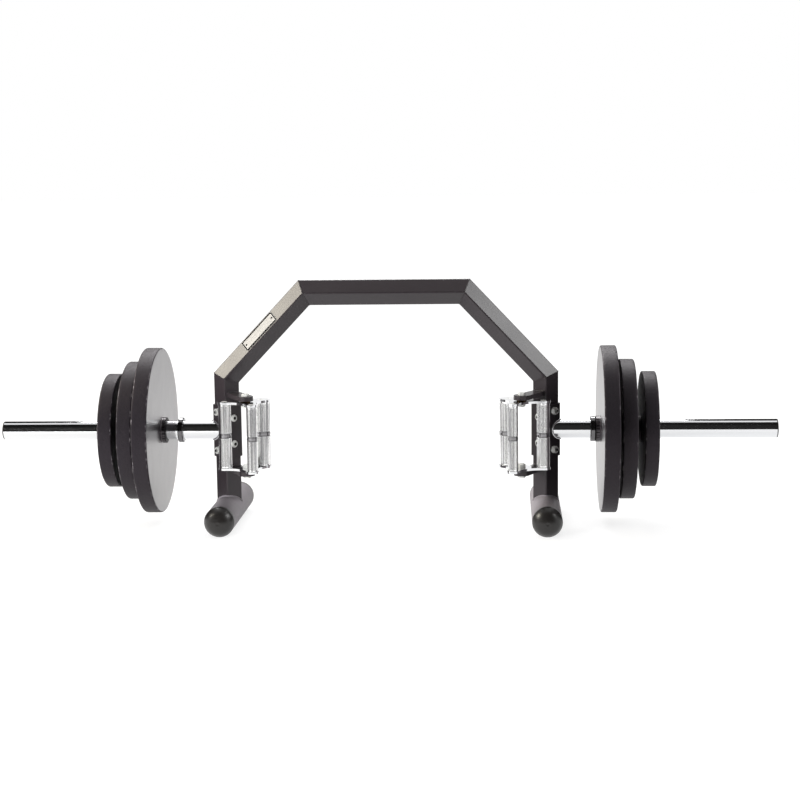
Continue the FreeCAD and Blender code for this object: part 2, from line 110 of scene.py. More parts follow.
class TrapBarFinishes(PropertyGroup):
    """Colours of the finishes."""
    powder_coat: colour_property("Powder coat", "Satin black coat of the frame", "2b2629")
    powder_coat_pale: colour_property("Powder coat, pale", "The coat where it lies thinner", "322d30")
    grey_enamel: colour_property("Grey enamel", "Paint of the foot tubes", "8c868b")
    grey_enamel_dark: colour_property("Grey enamel, dark", "The paint in its darker clouds", "7e797d")
    plastic: colour_property("Plastic", "Moulded caps and plugs", "1d1b1a")
    chrome: colour_property("Chrome", "Bright plating", "e2e3e5")
    # The stop rings' chrome is darker than the sleeve's as painted shade.
    ring_chrome_painted_shade: colour_property("Chrome, turned", "Plating of the stop rings, darker than the sleeve as painted shade", "6e6d6f")
    chrome_points: colour_property("Chrome, points", "Bright plating of the knurled grips", "fafafa")
    # The streak colour of the grips is painted reflection.
    chrome_reflection_streaks: colour_property("Chrome, painted streaks", "Painted reflection streaks along the grips", "b8b8ba")
    bare_steel: colour_property("Bare steel", "Turned band at mid height of the grips", "8a898b")
    zinc: colour_property("Zinc", "Plating of the fasteners", "efefec")
    zinc_dull: colour_property("Zinc, dull", "The plating where it has dulled", "c9cac7")
    # The same near black is painted shade down in the sockets of the bolt heads.
    thread_oil_and_socket_shade: colour_property("Oiled thread", "Ends of the clamp bolts", "151414")
    bronze: colour_property("Bronze", "Sintered bushes, dark with oil", "5b4a35")
    iron_paint: colour_property("Iron paint", "Paint of the weight plates", "211e22")
    iron_paint_dark: colour_property("Iron paint, dark", "The paint in the hollows of the casting", "171518")
    rubbed_iron: colour_property("Rubbed iron", "Rubbed edges of the weight plates", "686467")
    face_sheen: colour_property("Face sheen", "Lilac cast in the sheen of the weight plates", "f8e9f3")
    # The boss colour is near black as painted shade.
    boss_painted_shade: colour_property("Boss, painted shade", "Boss of the weight plates", "0d0c0d")
    aluminium: colour_property("Aluminium", "Blank plate on the diagonal", "9c9c9e")
    black_line: colour_property("Black enamel", "Border and rivets of the blank plate", "0f0e0e")


class TrapBarFrameSizes(PropertyGroup):
    """Sizes of the welded frame that its boxes don't show."""
    tube_side: length_property("Tube side", "Side of the square tube", 0.050)
    corner_radius: length_property("Corner radius", "Round of the tube's ridges", 0.004)
    bend_run: length_property("Bend run", "Sideways run of a diagonal", 0.216)
    bend_rise: length_property("Bend rise", "Rise of a diagonal", 0.229)
    saddle_side: length_property("Saddle side", "Side of the square that the clamp plates make", 0.060)
    saddle_radius: length_property("Saddle radius", "Round of the clamp plates' bend", 0.009)
    bracket_margin: length_property("Bracket margin", "From the tube's flat edge to the bracket", 0.003)
    seam_bead: length_property("Seam bead", "Radius of the weld round a mitre", 0.0012)
    foot_bead: length_property("Foot bead", "Radius of the weld between leg and foot", 0.0030)
    sleeve_bead: length_property("Sleeve bead", "Radius of the weld round a sleeve", 0.0035)
    bracket_bead: length_property("Bracket bead", "Radius of the weld round a bracket", 0.0022)
    ripple_pitch: length_property("Ripple pitch", "From ripple to ripple of a weld", 0.0042)
    ripple_share: FloatProperty(
        name="Ripple share", description="Part of a bead's radius lost between ripples", default=0.3,
        subtype="FACTOR")


class TrapBarThreadSizes(PropertyGroup):
    """Sizes of the ends and heads of the clamp bolts."""
    nut_row: length_property("Nut row", "Between the bolts whose nuts show in front", 0.105)
    head_row: length_property("Head row", "Between the bolts whose heads show in front", 0.071)
    bolt_radius: length_property("Bolt radius", "Outer radius of the thread", 0.005)
    thread_pitch: length_property("Thread pitch", "Rise of one turn", 0.0015)
    tip_chamfer: length_property("Tip chamfer", "Bevel at the end of a bolt", 0.0010)
    head_top: length_property("Head top", "From the leg's axis to the crown of a head", 0.0355)
    socket_radius: length_property("Socket radius", "Half the width across the socket's flats", 0.0045)
    socket_depth: length_property("Socket depth", "From the crown to the socket's floor", 0.0030)
    # A dark disc from the socket's floor up to this depth is painted shade.
    socket_shade_depth: length_property("Grease depth", "From the crown to the grease in the socket", 0.0015)
    oil_film: length_property("Oil film", "How far the oiled end stands over the plating", 0.0001)
    nut_top: length_property("Nut top", "From the leg's axis to the far face of a nut", 0.0396)
    bolt_end: length_property("Bolt end", "From the leg's axis to the end of a bolt", 0.0421)


class TrapBarGripSizes(PropertyGroup):
    """Sizes of the knurling."""
    knurl_pitch: length_property("Knurl pitch", "From diamond to diamond", 0.0020)
    knurl_depth: length_property("Knurl depth", "Height of a diamond", 0.00010)
    smooth_band: length_property("Smooth band", "Bare stretch at mid height", 0.008)
    groove_width: length_property("Groove width", "Groove on each side of the band", 0.0020)
    groove_depth: length_property("Groove depth", "Depth of these grooves", 0.0012)
    end_land: length_property("End land", "Bare stretch at each end", 0.004)
    end_chamfer: length_property("End chamfer", "Bevel at each end", 0.0008)


class TrapBarFootSizes(PropertyGroup):
    """Sizes of the caps in the foot tubes."""
    tube_wall: length_property("Tube wall", "Wall of the foot tube", 0.003)
    plug_depth: length_property("Plug depth", "How far a cap goes into its tube", 0.022)
    lip_width: length_property("Lip width", "Straight lip at the mouth of the tube", 0.014)
    lip_radius: length_property("Lip radius", "Round of the lip", 0.0012)
    step_depth: length_property("Step depth", "Step from the lip down to the dome", 0.0009)
    gate_radius: length_property("Gate radius", "Mark of the mould at the crown", 0.004)
    gate_depth: length_property("Gate depth", "Depth of that mark", 0.0004)


class TrapBarPlateSizes(PropertyGroup):
    """Sizes of the cast plates."""
    bore_radius: length_property("Bore radius", "Bore for the sleeve", 0.0253)
    boss_radius: length_property("Boss radius", "Boss on the face towards the lifter", 0.035)
    boss_height: length_property("Boss height", "How far that boss stands out", 0.012)
    hub_radius: length_property("Hub radius", "Hub in the dish", 0.045)
    hub_recess: length_property("Hub recess", "Of the hub below the rim", 0.005)
    draft: length_property("Draft", "Sideways lean of the dish's walls", 0.006)
    edge_radius: length_property("Edge radius", "Round of the rim's edges", 0.004)
    lip_radius: length_property("Lip radius", "Round of the dish's lip", 0.002)
    cast_radius: length_property("Cast radius", "Hollow rounds in the dish", 0.005)
    wave_height: length_property("Wave height", "How far the casting wanders", 0.0003)
    wave_length: length_property("Wave length", "From wave to wave of the casting", 0.045)
    mesh_step: length_property("Mesh step", "Longest run between points of the outline", 0.008)
    rim_widths: FloatVectorProperty(
        name="Rim widths", description="Of the large, medium and small plate", default=(0.026, 0.024, 0.021),
        unit="LENGTH", size=3)
    webs: FloatVectorProperty(
        name="Webs", description="Thickness of the large, medium and small plate inside the rim",
        default=(0.014, 0.013, 0.012), unit="LENGTH", size=3)
    face_gloss: FloatVectorProperty(
        name="Face gloss", description="How sleek the face of the large, medium and small plate is",
        default=(1.0, 0.0, 0.0), min=0, max=1, subtype="NONE", size=3)


class TrapBarLabelSizes(PropertyGroup):
    """Sizes of the blank plate on the diagonal."""
    plate_length: length_property("Plate length", "Along the tube", 0.119)
    plate_width: length_property("Plate width", "Across the tube", 0.038)
    plate_thickness: length_property("Plate thickness", "Above the tube", 0.001)
    border_inset: length_property("Border inset", "From the plate's edge to its border line", 0.0024)
    border_radius: length_property("Border radius", "Half the width of the border line", 0.0016)


class TrapBarStage(PropertyGroup):
    """Camera and light of the picture."""
    camera_place: FloatVectorProperty(
        name="Camera place", description="Where the camera stands", default=(0.311, -4.544, 0.982),
        subtype="TRANSLATION", size=3)
    camera_pan: FloatProperty(
        name="Pan", description="Turn of the camera to the left", default=math.radians(3.42),
        subtype="ANGLE")
    camera_tilt: FloatProperty(
        name="Tilt", description="Turn of the camera downwards", default=math.radians(8.05),
        subtype="ANGLE")
    camera_roll: FloatProperty(
        name="Roll", description="Turn of the camera about its view", default=math.radians(-0.72),
        subtype="ANGLE")
    lens: FloatProperty(
        name="Lens", description="Focal length on a 36 mm wide sensor", default=76.5, unit="CAMERA")
    key_radiance: light_property("Key", "Brightness of the left softbox", 14.5)
    fill_radiance: light_property("Fill", "Brightness of the right softbox", 9.0)
    front_radiance: light_property("Front", "Brightness of the softbox before the bar", 6.0)
    low_radiance: light_property("Low", "Brightness of the low fill for matt surfaces", 24.0)
    top_radiance: light_property("Top", "Brightness of the strip above and behind the bar", 14.0)
    ambient: light_property("Ambient", "Light from all round on matt surfaces", 0.25)
    key_colour: colour_property("Key colour", "Warm white of the left softbox", "fff8e7")
    floor_grey: colour_property("Floor, lit", "Share of light that the floor returns", "8c8c8c")
    floor_white: colour_property("Floor", "Colour of the floor", "ffffff")
    flag_black: colour_property("Flags", "Cloth of the black flags", "161616")


# Small tools for nodes

def per_metre(millimetres):
    """Scale of a pattern whose cells measure this much."""
    return 1000 / millimetres


def set_inputs(tree, node, inputs):
    """Give a node's input sockets their values, or link them to other sockets."""
    for name, value in inputs.items():
        if isinstance(value, bpy.types.NodeSocket):
            tree.links.new(value, node.inputs[name])
        else:
            node.inputs[name].default_value = value


def add_node(tree, kind, inputs=None, **settings):
    """Add one node with its settings, and set or link its inputs."""
    node = tree.nodes.new(kind)
    for name, value in settings.items():
        setattr(node, name, value)
    set_inputs(tree, node, inputs or {})
    return node


# Materials

MIX_FACTOR, MIX_FIRST, MIX_SECOND, MIX_RESULT = 0, 6, 7, 2   # sockets of a Mix node that blends colours


def start_material(name):
    """New material, with its node tree, its surface shader and the coordinates of the object."""
    material = bpy.data.materials.new(name)
    material.use_nodes = True
    tree = material.node_tree
    place = add_node(tree, "ShaderNodeTexCoord").outputs["Object"]
    return material, tree, tree.nodes["Principled BSDF"], place


@functools.cache
def powder_coat():
    """Polyester powder baked on steel: satin black, with an orange peel and faint clouds in its gloss."""
    colours = bpy.context.scene.trap_bar_finishes
    material, tree, surface, place = start_material("powder_coat_satin_black")
    clouds = add_node(tree, "ShaderNodeTexNoise", {"Vector": place, "Scale": per_metre(60), "Detail": 3.0})
    # Real orange peel is about 1 mm wide; it is drawn at 2.5 mm so that it shows.
    peel = add_node(tree, "ShaderNodeTexNoise", {"Vector": place, "Scale": per_metre(2.5), "Detail": 2.0})
    colour = add_node(tree, "ShaderNodeMix", {
        MIX_FACTOR: clouds.outputs["Fac"],
        MIX_FIRST: colours.powder_coat,
        MIX_SECOND: colours.powder_coat_pale,
    }, data_type="RGBA")
    gloss = add_node(tree, "ShaderNodeMapRange", {
        "Value": clouds.outputs["Fac"], "To Min": 0.26, "To Max": 0.34})
    bump = add_node(tree, "ShaderNodeBump", {
        "Strength": 0.08, "Distance": 0.0002, "Height": peel.outputs["Fac"]})
    set_inputs(tree, surface, {
        "Base Color": colour.outputs[MIX_RESULT], "Roughness": gloss.outputs["Result"],
        "Normal": bump.outputs["Normal"], "IOR": 1.5, "Specular IOR Level": 0.42})
    return material


@functools.cache
def grey_enamel():
    """Sprayed enamel on the foot tubes: mid grey, half matt, a little uneven."""
    colours = bpy.context.scene.trap_bar_finishes
    material, tree, surface, place = start_material("enamel_sprayed_grey")
    clouds = add_node(tree, "ShaderNodeTexNoise", {"Vector": place, "Scale": per_metre(25), "Detail": 4.0})
    # Spray grain is under 1 mm; it is drawn at 2 mm so that it shows.
    grain = add_node(tree, "ShaderNodeTexNoise", {"Vector": place, "Scale": per_metre(2), "Detail": 2.0})
    colour = add_node(tree, "ShaderNodeMix", {
        MIX_FACTOR: clouds.outputs["Fac"],
        MIX_FIRST: colours.grey_enamel_dark,
        MIX_SECOND: colours.grey_enamel,
    }, data_type="RGBA")
    gloss = add_node(tree, "ShaderNodeMapRange", {
        "Value": grain.outputs["Fac"], "To Min": 0.42, "To Max": 0.58})
    bump = add_node(tree, "ShaderNodeBump", {
        "Strength": 0.2, "Distance": 0.0002, "Height": grain.outputs["Fac"]})
    set_inputs(tree, surface, {
        "Base Color": colour.outputs[MIX_RESULT], "Roughness": gloss.outputs["Result"],
        "Normal": bump.outputs["Normal"], "IOR": 1.5, "Specular IOR Level": 0.2})
    return material


@functools.cache
def moulded_plastic():
    """Injection moulded polyethylene: black, half gloss, with a faint leather of the mould."""
    colours = bpy.context.scene.trap_bar_finishes
    material, tree, surface, place = start_material("polyethylene_moulded_black")
    # The mould's grain is about 0.5 mm; it is drawn at 1.5 mm so that it shows.
    grain = add_node(tree, "ShaderNodeTexNoise", {"Vector": place, "Scale": per_metre(1.5), "Detail": 2.0})
    gloss = add_node(tree, "ShaderNodeMapRange", {
        "Value": grain.outputs["Fac"], "To Min": 0.30, "To Max": 0.38})
    bump = add_node(tree, "ShaderNodeBump", {
        "Strength": 0.12, "Distance": 0.0002, "Height": grain.outputs["Fac"]})
    set_inputs(tree, surface, {
        "Base Color": colours.plastic, "Roughness": gloss.outputs["Result"],
        "Normal": bump.outputs["Normal"], "IOR": 1.51, "Specular IOR Level": 0.5})
    return material


@functools.cache
def polished_chrome():
    """Bright chromium over nickel: mirror bright, with hair scratches along the sleeve."""
    colours = bpy.context.scene.trap_bar_finishes
    material, tree, surface, place = start_material("chromium_plate_polished")
    # Hair scratches run along X: 120 mm long and 1.5 mm apart, which is as fine as shows.
    stretch = add_node(tree, "ShaderNodeMapping", {
        "Vector": place, "Scale": (per_metre(120), per_metre(1.5), per_metre(1.5))})
    hairs = add_node(tree, "ShaderNodeTexNoise", {
        "Vector": stretch.outputs["Vector"], "Scale": 1.0, "Detail": 3.0})
    gloss = add_node(tree, "ShaderNodeMapRange", {
        "Value": hairs.outputs["Fac"], "From Min": 0.4, "From Max": 0.75, "To Min": 0.045, "To Max": 0.14})
    set_inputs(tree, surface, {
        "Base Color": colours.chrome, "Metallic": 1.0, "Roughness": gloss.outputs["Result"]})
    return material


@functools.cache
def turned_chrome():
    """Chromium on turned rings, with tool marks in its gloss; its colour is darker than the sleeve's as
    painted shade.
    """
    colours = bpy.context.scene.trap_bar_finishes
    material, tree, surface, place = start_material("chromium_plate_turned_painted_shade")
    # Tool marks are about 0.2 mm apart along X; they are drawn 1 mm apart so that they show.
    stretch = add_node(tree, "ShaderNodeMapping", {
        "Vector": place, "Scale": (per_metre(1), per_metre(40), per_metre(40))})
    marks = add_node(tree, "ShaderNodeTexNoise", {
        "Vector": stretch.outputs["Vector"], "Scale": 1.0, "Detail": 2.0})
    gloss = add_node(tree, "ShaderNodeMapRange", {
        "Value": marks.outputs["Fac"], "To Min": 0.08, "To Max": 0.22})
    set_inputs(tree, surface, {
        "Base Color": colours.ring_chrome_painted_shade, "Metallic": 1.0, "Roughness": gloss.outputs["Result"]})
    return material


@functools.cache
def knurled_chrome():
    """Chromium over rolled knurling: bright points, darker streaks along the grip that are painted
    reflection, and a bare band.
    """
    colours = bpy.context.scene.trap_bar_finishes
    material, tree, surface, place = start_material("chromium_plate_knurled")
    # Darker streaks of painted reflection are about 5 mm wide and run the whole length of a grip.
    stretch = add_node(tree, "ShaderNodeMapping", {
        "Vector": place, "Scale": (per_metre(5), per_metre(5), per_metre(400))})
    streaks = add_node(tree, "ShaderNodeTexNoise", {
        "Vector": stretch.outputs["Vector"], "Scale": 1.0, "Detail": 2.0})
    rub = add_node(tree, "ShaderNodeMapRange", {
        "Value": streaks.outputs["Fac"], "From Min": 0.46, "From Max": 0.62})
    # The streaks mix painted reflection into the colour of the plating.
    plating = add_node(tree, "ShaderNodeMix", {
        MIX_FACTOR: rub.outputs["Result"],
        MIX_FIRST: colours.chrome_points,
        MIX_SECOND: colours.chrome_reflection_streaks,
    }, data_type="RGBA")
    band = add_node(tree, "ShaderNodeAttribute", attribute_name="bare")
    colour = add_node(tree, "ShaderNodeMix", {
        MIX_FACTOR: band.outputs["Fac"],
        MIX_FIRST: plating.outputs[MIX_RESULT],
        MIX_SECOND: colours.bare_steel,
    }, data_type="RGBA")
    gloss = add_node(tree, "ShaderNodeMapRange", {
        "Value": streaks.outputs["Fac"], "To Min": 0.06, "To Max": 0.22})
    set_inputs(tree, surface, {
        "Base Color": colour.outputs[MIX_RESULT], "Metallic": 1.0, "Roughness": gloss.outputs["Result"]})
    return material


@functools.cache
def zinc_plate():
    """Electroplated zinc on cold-formed steel: cool silver with duller blooms."""
    colours = bpy.context.scene.trap_bar_finishes
    material, tree, surface, place = start_material("zinc_plate_bright")
    blooms = add_node(tree, "ShaderNodeTexNoise", {"Vector": place, "Scale": per_metre(5), "Detail": 4.0})
    colour = add_node(tree, "ShaderNodeMix", {
        MIX_FACTOR: blooms.outputs["Fac"],
        MIX_FIRST: colours.zinc,
        MIX_SECOND: colours.zinc_dull,
    }, data_type="RGBA")
    gloss = add_node(tree, "ShaderNodeMapRange", {
        "Value": blooms.outputs["Fac"], "To Min": 0.25, "To Max": 0.45})
    set_inputs(tree, surface, {
        "Base Color": colour.outputs[MIX_RESULT], "Metallic": 0.35, "Roughness": gloss.outputs["Result"]})
    return material


@functools.cache
def sintered_bronze():
    """Pressed and sintered bronze: warm, dull and finely pored."""
    colours = bpy.context.scene.trap_bar_finishes
    material, tree, surface, place = start_material("bronze_sintered")
    # Pores are under 0.1 mm; they are drawn at 0.6 mm so that they show.
    pores = add_node(tree, "ShaderNodeTexNoise", {"Vector": place, "Scale": per_metre(0.6), "Detail": 2.0})
    gloss = add_node(tree, "ShaderNodeMapRange", {
        "Value": pores.outputs["Fac"], "To Min": 0.32, "To Max": 0.55})
    bump = add_node(tree, "ShaderNodeBump", {
        "Strength": 0.3, "Distance": 0.0001, "Height": pores.outputs["Fac"]})
    set_inputs(tree, surface, {
        "Base Color": colours.bronze, "Metallic": 1.0, "Roughness": gloss.outputs["Result"],
        "Normal": bump.outputs["Normal"]})
    return material


@functools.cache
def oiled_steel_and_socket_shade():
    """Cut thread dark with oil: near black, with a soft uneven gloss; the same near black is painted shade
    in the sockets of the bolt heads.
    """
    colours = bpy.context.scene.trap_bar_finishes
    material, tree, surface, place = start_material("steel_thread_oiled_and_socket_shade")
    film = add_node(tree, "ShaderNodeTexNoise", {"Vector": place, "Scale": per_metre(3), "Detail": 2.0})
    gloss = add_node(tree, "ShaderNodeMapRange", {
        "Value": film.outputs["Fac"], "To Min": 0.35, "To Max": 0.55})
    set_inputs(tree, surface, {
        "Base Color": colours.thread_oil_and_socket_shade, "Roughness": gloss.outputs["Result"],
        "Specular IOR Level": 0.25})
    return material


@functools.cache
def painted_cast_iron():
    """Sand-cast iron under charcoal paint: grainy matt rim, rubbed edges, sleeker face, and a boss darkened
    as painted shade.
    """
    colours = bpy.context.scene.trap_bar_finishes
    material, tree, surface, place = start_material("cast_iron_painted_charcoal")
    # Moulding sand leaves a grain of about 1 mm; it is drawn at 6 mm so that it shows.
    grain = add_node(tree, "ShaderNodeTexNoise", {
        "Vector": place, "Scale": per_metre(6), "Detail": 4.0, "Roughness": 0.6})
    pits = add_node(tree, "ShaderNodeTexVoronoi", {"Vector": place, "Scale": per_metre(9)})
    pit_edge = add_node(tree, "ShaderNodeMapRange", {
        "Value": pits.outputs["Distance"], "From Min": 0.05, "From Max": 0.22})
    relief = add_node(tree, "ShaderNodeMath", {
        0: grain.outputs["Fac"], 1: pit_edge.outputs["Result"]}, operation="MULTIPLY")
    paint = add_node(tree, "ShaderNodeMix", {
        MIX_FACTOR: relief.outputs["Value"],
        MIX_FIRST: colours.iron_paint_dark,
        MIX_SECOND: colours.iron_paint,
    }, data_type="RGBA")
    edge = add_node(tree, "ShaderNodeAttribute", attribute_name="rubbed")
    chips = add_node(tree, "ShaderNodeMapRange", {
        "Value": grain.outputs["Fac"], "From Min": 0.42, "From Max": 0.58})
    # Knocks rub an edge bare in stretches of about 22 mm, which the grain breaks up.
    knocks = add_node(tree, "ShaderNodeTexNoise", {"Vector": place, "Scale": per_metre(22), "Detail": 1.0})
    struck = add_node(tree, "ShaderNodeMapRange", {
        "Value": knocks.outputs["Fac"], "From Min": 0.52, "From Max": 0.64})
    marks = add_node(tree, "ShaderNodeMath", {
        0: chips.outputs["Result"], 1: struck.outputs["Result"]}, operation="MULTIPLY")
    rub = add_node(tree, "ShaderNodeMath", {
        0: edge.outputs["Fac"], 1: marks.outputs["Value"]}, operation="MULTIPLY")
    worn = add_node(tree, "ShaderNodeMix", {
        MIX_FACTOR: rub.outputs["Value"],
        MIX_FIRST: paint.outputs[MIX_RESULT],
        MIX_SECOND: colours.rubbed_iron,
    }, data_type="RGBA")
    # The boss is darkened to near black: painted shade.
    hub = add_node(tree, "ShaderNodeAttribute", attribute_name="hub")
    colour = add_node(tree, "ShaderNodeMix", {
        MIX_FACTOR: hub.outputs["Fac"],
        MIX_FIRST: worn.outputs[MIX_RESULT],
        MIX_SECOND: colours.boss_painted_shade,
    }, data_type="RGBA")
    face = add_node(tree, "ShaderNodeAttribute", attribute_name="face")
    gloss = add_node(tree, "ShaderNodeMapRange", {
        "Value": face.outputs["Fac"], "To Min": 0.55, "To Max": 0.40})
    sleek = add_node(tree, "ShaderNodeMapRange", {
        "Value": face.outputs["Fac"], "To Min": 0.35, "To Max": 1.0})
    lacquer = add_node(tree, "ShaderNodeMath", {0: face.outputs["Fac"], 1: 0.85}, operation="MULTIPLY")
    bump = add_node(tree, "ShaderNodeBump", {
        "Strength": 0.8, "Distance": 0.0008, "Height": relief.outputs["Value"]})
    set_inputs(tree, surface, {
        "Base Color": colour.outputs[MIX_RESULT], "Roughness": gloss.outputs["Result"],
        "Normal": bump.outputs["Normal"], "IOR": 1.5, "Specular IOR Level": sleek.outputs["Result"],
        "Specular Tint": colours.face_sheen, "Coat Weight": lacquer.outputs["Value"], "Coat Roughness": 0.3})
    return material


@functools.cache
def brushed_aluminium():
    """Anodised sheet brushed along its length: pale, with fine streaks."""
    colours = bpy.context.scene.trap_bar_finishes
    sizes = bpy.context.scene.trap_bar_frame
    material, tree, surface, place = start_material("aluminium_brushed")
    lean = math.atan2(sizes.bend_rise, sizes.bend_run)
    along = add_node(tree, "ShaderNodeMapping", {"Vector": place, "Rotation": (0, lean, 0)})
    # Brush lines are about 0.1 mm apart; they are drawn 1 mm apart and 40 mm long so that they show.
    stretch = add_node(tree, "ShaderNodeMapping", {
        "Vector": along.outputs["Vector"], "Scale": (per_metre(40), per_metre(1), per_metre(1))})
    streaks = add_node(tree, "ShaderNodeTexNoise", {
        "Vector": stretch.outputs["Vector"], "Scale": 1.0, "Detail": 3.0})
    gloss = add_node(tree, "ShaderNodeMapRange", {
        "Value": streaks.outputs["Fac"], "To Min": 0.5, "To Max": 0.7})
    bump = add_node(tree, "ShaderNodeBump", {
        "Strength": 0.1, "Distance": 0.0001, "Height": streaks.outputs["Fac"]})
    set_inputs(tree, surface, {
        "Base Color": colours.aluminium, "Metallic": 1.0, "Roughness": gloss.outputs["Result"],
        "Normal": bump.outputs["Normal"]})
    return material


@functools.cache
def black_enamel():
    """Stoved enamel on small parts: deep black and half matt, with a slight waviness in its gloss."""
    colours = bpy.context.scene.trap_bar_finishes
    material, tree, surface, place = start_material("enamel_stoved_black")
    clouds = add_node(tree, "ShaderNodeTexNoise", {"Vector": place, "Scale": per_metre(4), "Detail": 2.0})
    gloss = add_node(tree, "ShaderNodeMapRange", {
        "Value": clouds.outputs["Fac"], "To Min": 0.5, "To Max": 0.65})
    set_inputs(tree, surface, {
        "Base Color": colours.black_line, "Roughness": gloss.outputs["Result"], "Specular IOR Level": 0.15})
    return material


def finish_nodes(material, *nodes):
    """Give frame nodes whose shape is right their finish."""
    for node in nodes:
        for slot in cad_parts[node].material_slots:
            slot.material = material


def both_sides(*pieces):
    """The left and right node of each piece."""
    return [side + "_" + piece for side in SIDES for piece in pieces]


# Meshes

def add_piece(name, mesh, body):
    """Show a finished mesh as a piece that rides on a body."""
    piece = bpy.data.objects.new(name, mesh)
    bpy.context.scene.collection.objects.link(piece)
    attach(piece, body)
    return piece


def path_holder(name, paths, closed):
    """Object whose bare edges follow the given rows of points."""
    points = []
    edges = []
    for path in paths:
        first = len(points)
        last = first + len(path) - 1
        points.extend(path)
        edges.extend((index, index + 1) for index in range(first, last))
        if closed:
            edges.append((last, first))
    mesh = bpy.data.meshes.new(name)
    mesh.from_pydata(points, edges, [])
    holder = bpy.data.objects.new(name, mesh)
    bpy.context.scene.collection.objects.link(holder)
    return holder


def start_tree(name, inputs):
    """Geometry node tree with a geometry and named inputs."""
    tree = bpy.data.node_groups.new(name, "GeometryNodeTree")
    tree.interface.new_socket("Geometry", in_out="INPUT", socket_type="NodeSocketGeometry")
    for label, kind in inputs.items():
        tree.interface.new_socket(label, in_out="INPUT", socket_type=kind)
    tree.interface.new_socket("Geometry", in_out="OUTPUT", socket_type="NodeSocketGeometry")
    return tree, add_node(tree, "NodeGroupInput").outputs


def end_tree(tree, made, material):
    """Close a tree: realise the instances and set the material."""
    real = add_node(tree, "GeometryNodeRealizeInstances", {"Geometry": made})
    painted = add_node(tree, "GeometryNodeSetMaterial", {
        "Geometry": real.outputs["Geometry"], "Material": material})
    add_node(tree, "NodeGroupOutput", {"Geometry": painted.outputs["Geometry"]})
    return tree


def mesh_from_tree(holder, tree, values):
    """Run a tree on an object and keep what it makes as a plain mesh; the object itself goes."""
    modifier = holder.modifiers.new(tree.name, "NODES")
    modifier.node_group = tree
    for item in tree.interface.items_tree:
        if item.in_out == "INPUT" and item.name in values:
            modifier[item.identifier] = values[item.name]
    evaluated = holder.evaluated_get(bpy.context.evaluated_depsgraph_get())
    mesh = bpy.data.meshes.new_from_object(evaluated)
    if not mesh.polygons:
        raise RuntimeError(f"{holder.name}: {tree.name} made no faces")
    bpy.data.objects.remove(holder)
    return mesh


@functools.cache
def ridge_tree():
    """Round ridge along edges, drawn in between ripples as a weld bead is."""
    tree, given = start_tree("Ridge along a path", {
        "Radius": "NodeSocketFloat",
        "Ripple Pitch": "NodeSocketFloat",
        "Ripple Share": "NodeSocketFloat",
        "Step": "NodeSocketFloat",
        "Material": "NodeSocketMaterial",
    })
    curve = add_node(tree, "GeometryNodeMeshToCurve", {"Mesh": given["Geometry"]})
    even = add_node(tree, "GeometryNodeResampleCurve", {
        "Curve": curve.outputs["Curve"], "Length": given["Step"]}, mode="LENGTH")
    travel = add_node(tree, "GeometryNodeSplineParameter").outputs["Length"]
    turns = add_node(tree, "ShaderNodeMath", {0: travel, 1: given["Ripple Pitch"]}, operation="DIVIDE")
    phase = add_node(tree, "ShaderNodeMath", {0: turns.outputs["Value"], 1: math.pi}, operation="MULTIPLY")
    wave = add_node(tree, "ShaderNodeMath", {0: phase.outputs["Value"]}, operation="SINE")
    crest = add_node(tree, "ShaderNodeMath", {0: wave.outputs["Value"]}, operation="ABSOLUTE")
    low = add_node(tree, "ShaderNodeMath", {0: 1.0, 1: given["Ripple Share"]}, operation="SUBTRACT")
    scale = add_node(tree, "ShaderNodeMath", {
        0: crest.outputs["Value"], 1: given["Ripple Share"], 2: low.outputs["Value"],
    }, operation="MULTIPLY_ADD")
    section = add_node(tree, "GeometryNodeCurvePrimitiveCircle", {
        "Resolution": 10, "Radius": given["Radius"]})
    ridge = add_node(tree, "GeometryNodeCurveToMesh", {
        "Curve": even.outputs["Curve"], "Profile Curve": section.outputs["Curve"],
        "Scale": scale.outputs["Value"], "Fill Caps": True})
    smooth = add_node(tree, "GeometryNodeSetShadeSmooth", {"Geometry": ridge.outputs["Mesh"]})
    return end_tree(tree, smooth.outputs["Geometry"], given["Material"])


def ridge(name, paths, closed, radius, material, pitch=1.0, share=0.0, step=0.001):
    """Mesh of ridges along paths; with no share of ripple they are plain rods."""
    return mesh_from_tree(path_holder(name, paths, closed), ridge_tree(), {
        "Radius": radius, "Ripple Pitch": pitch, "Ripple Share": share, "Step": step, "Material": material})


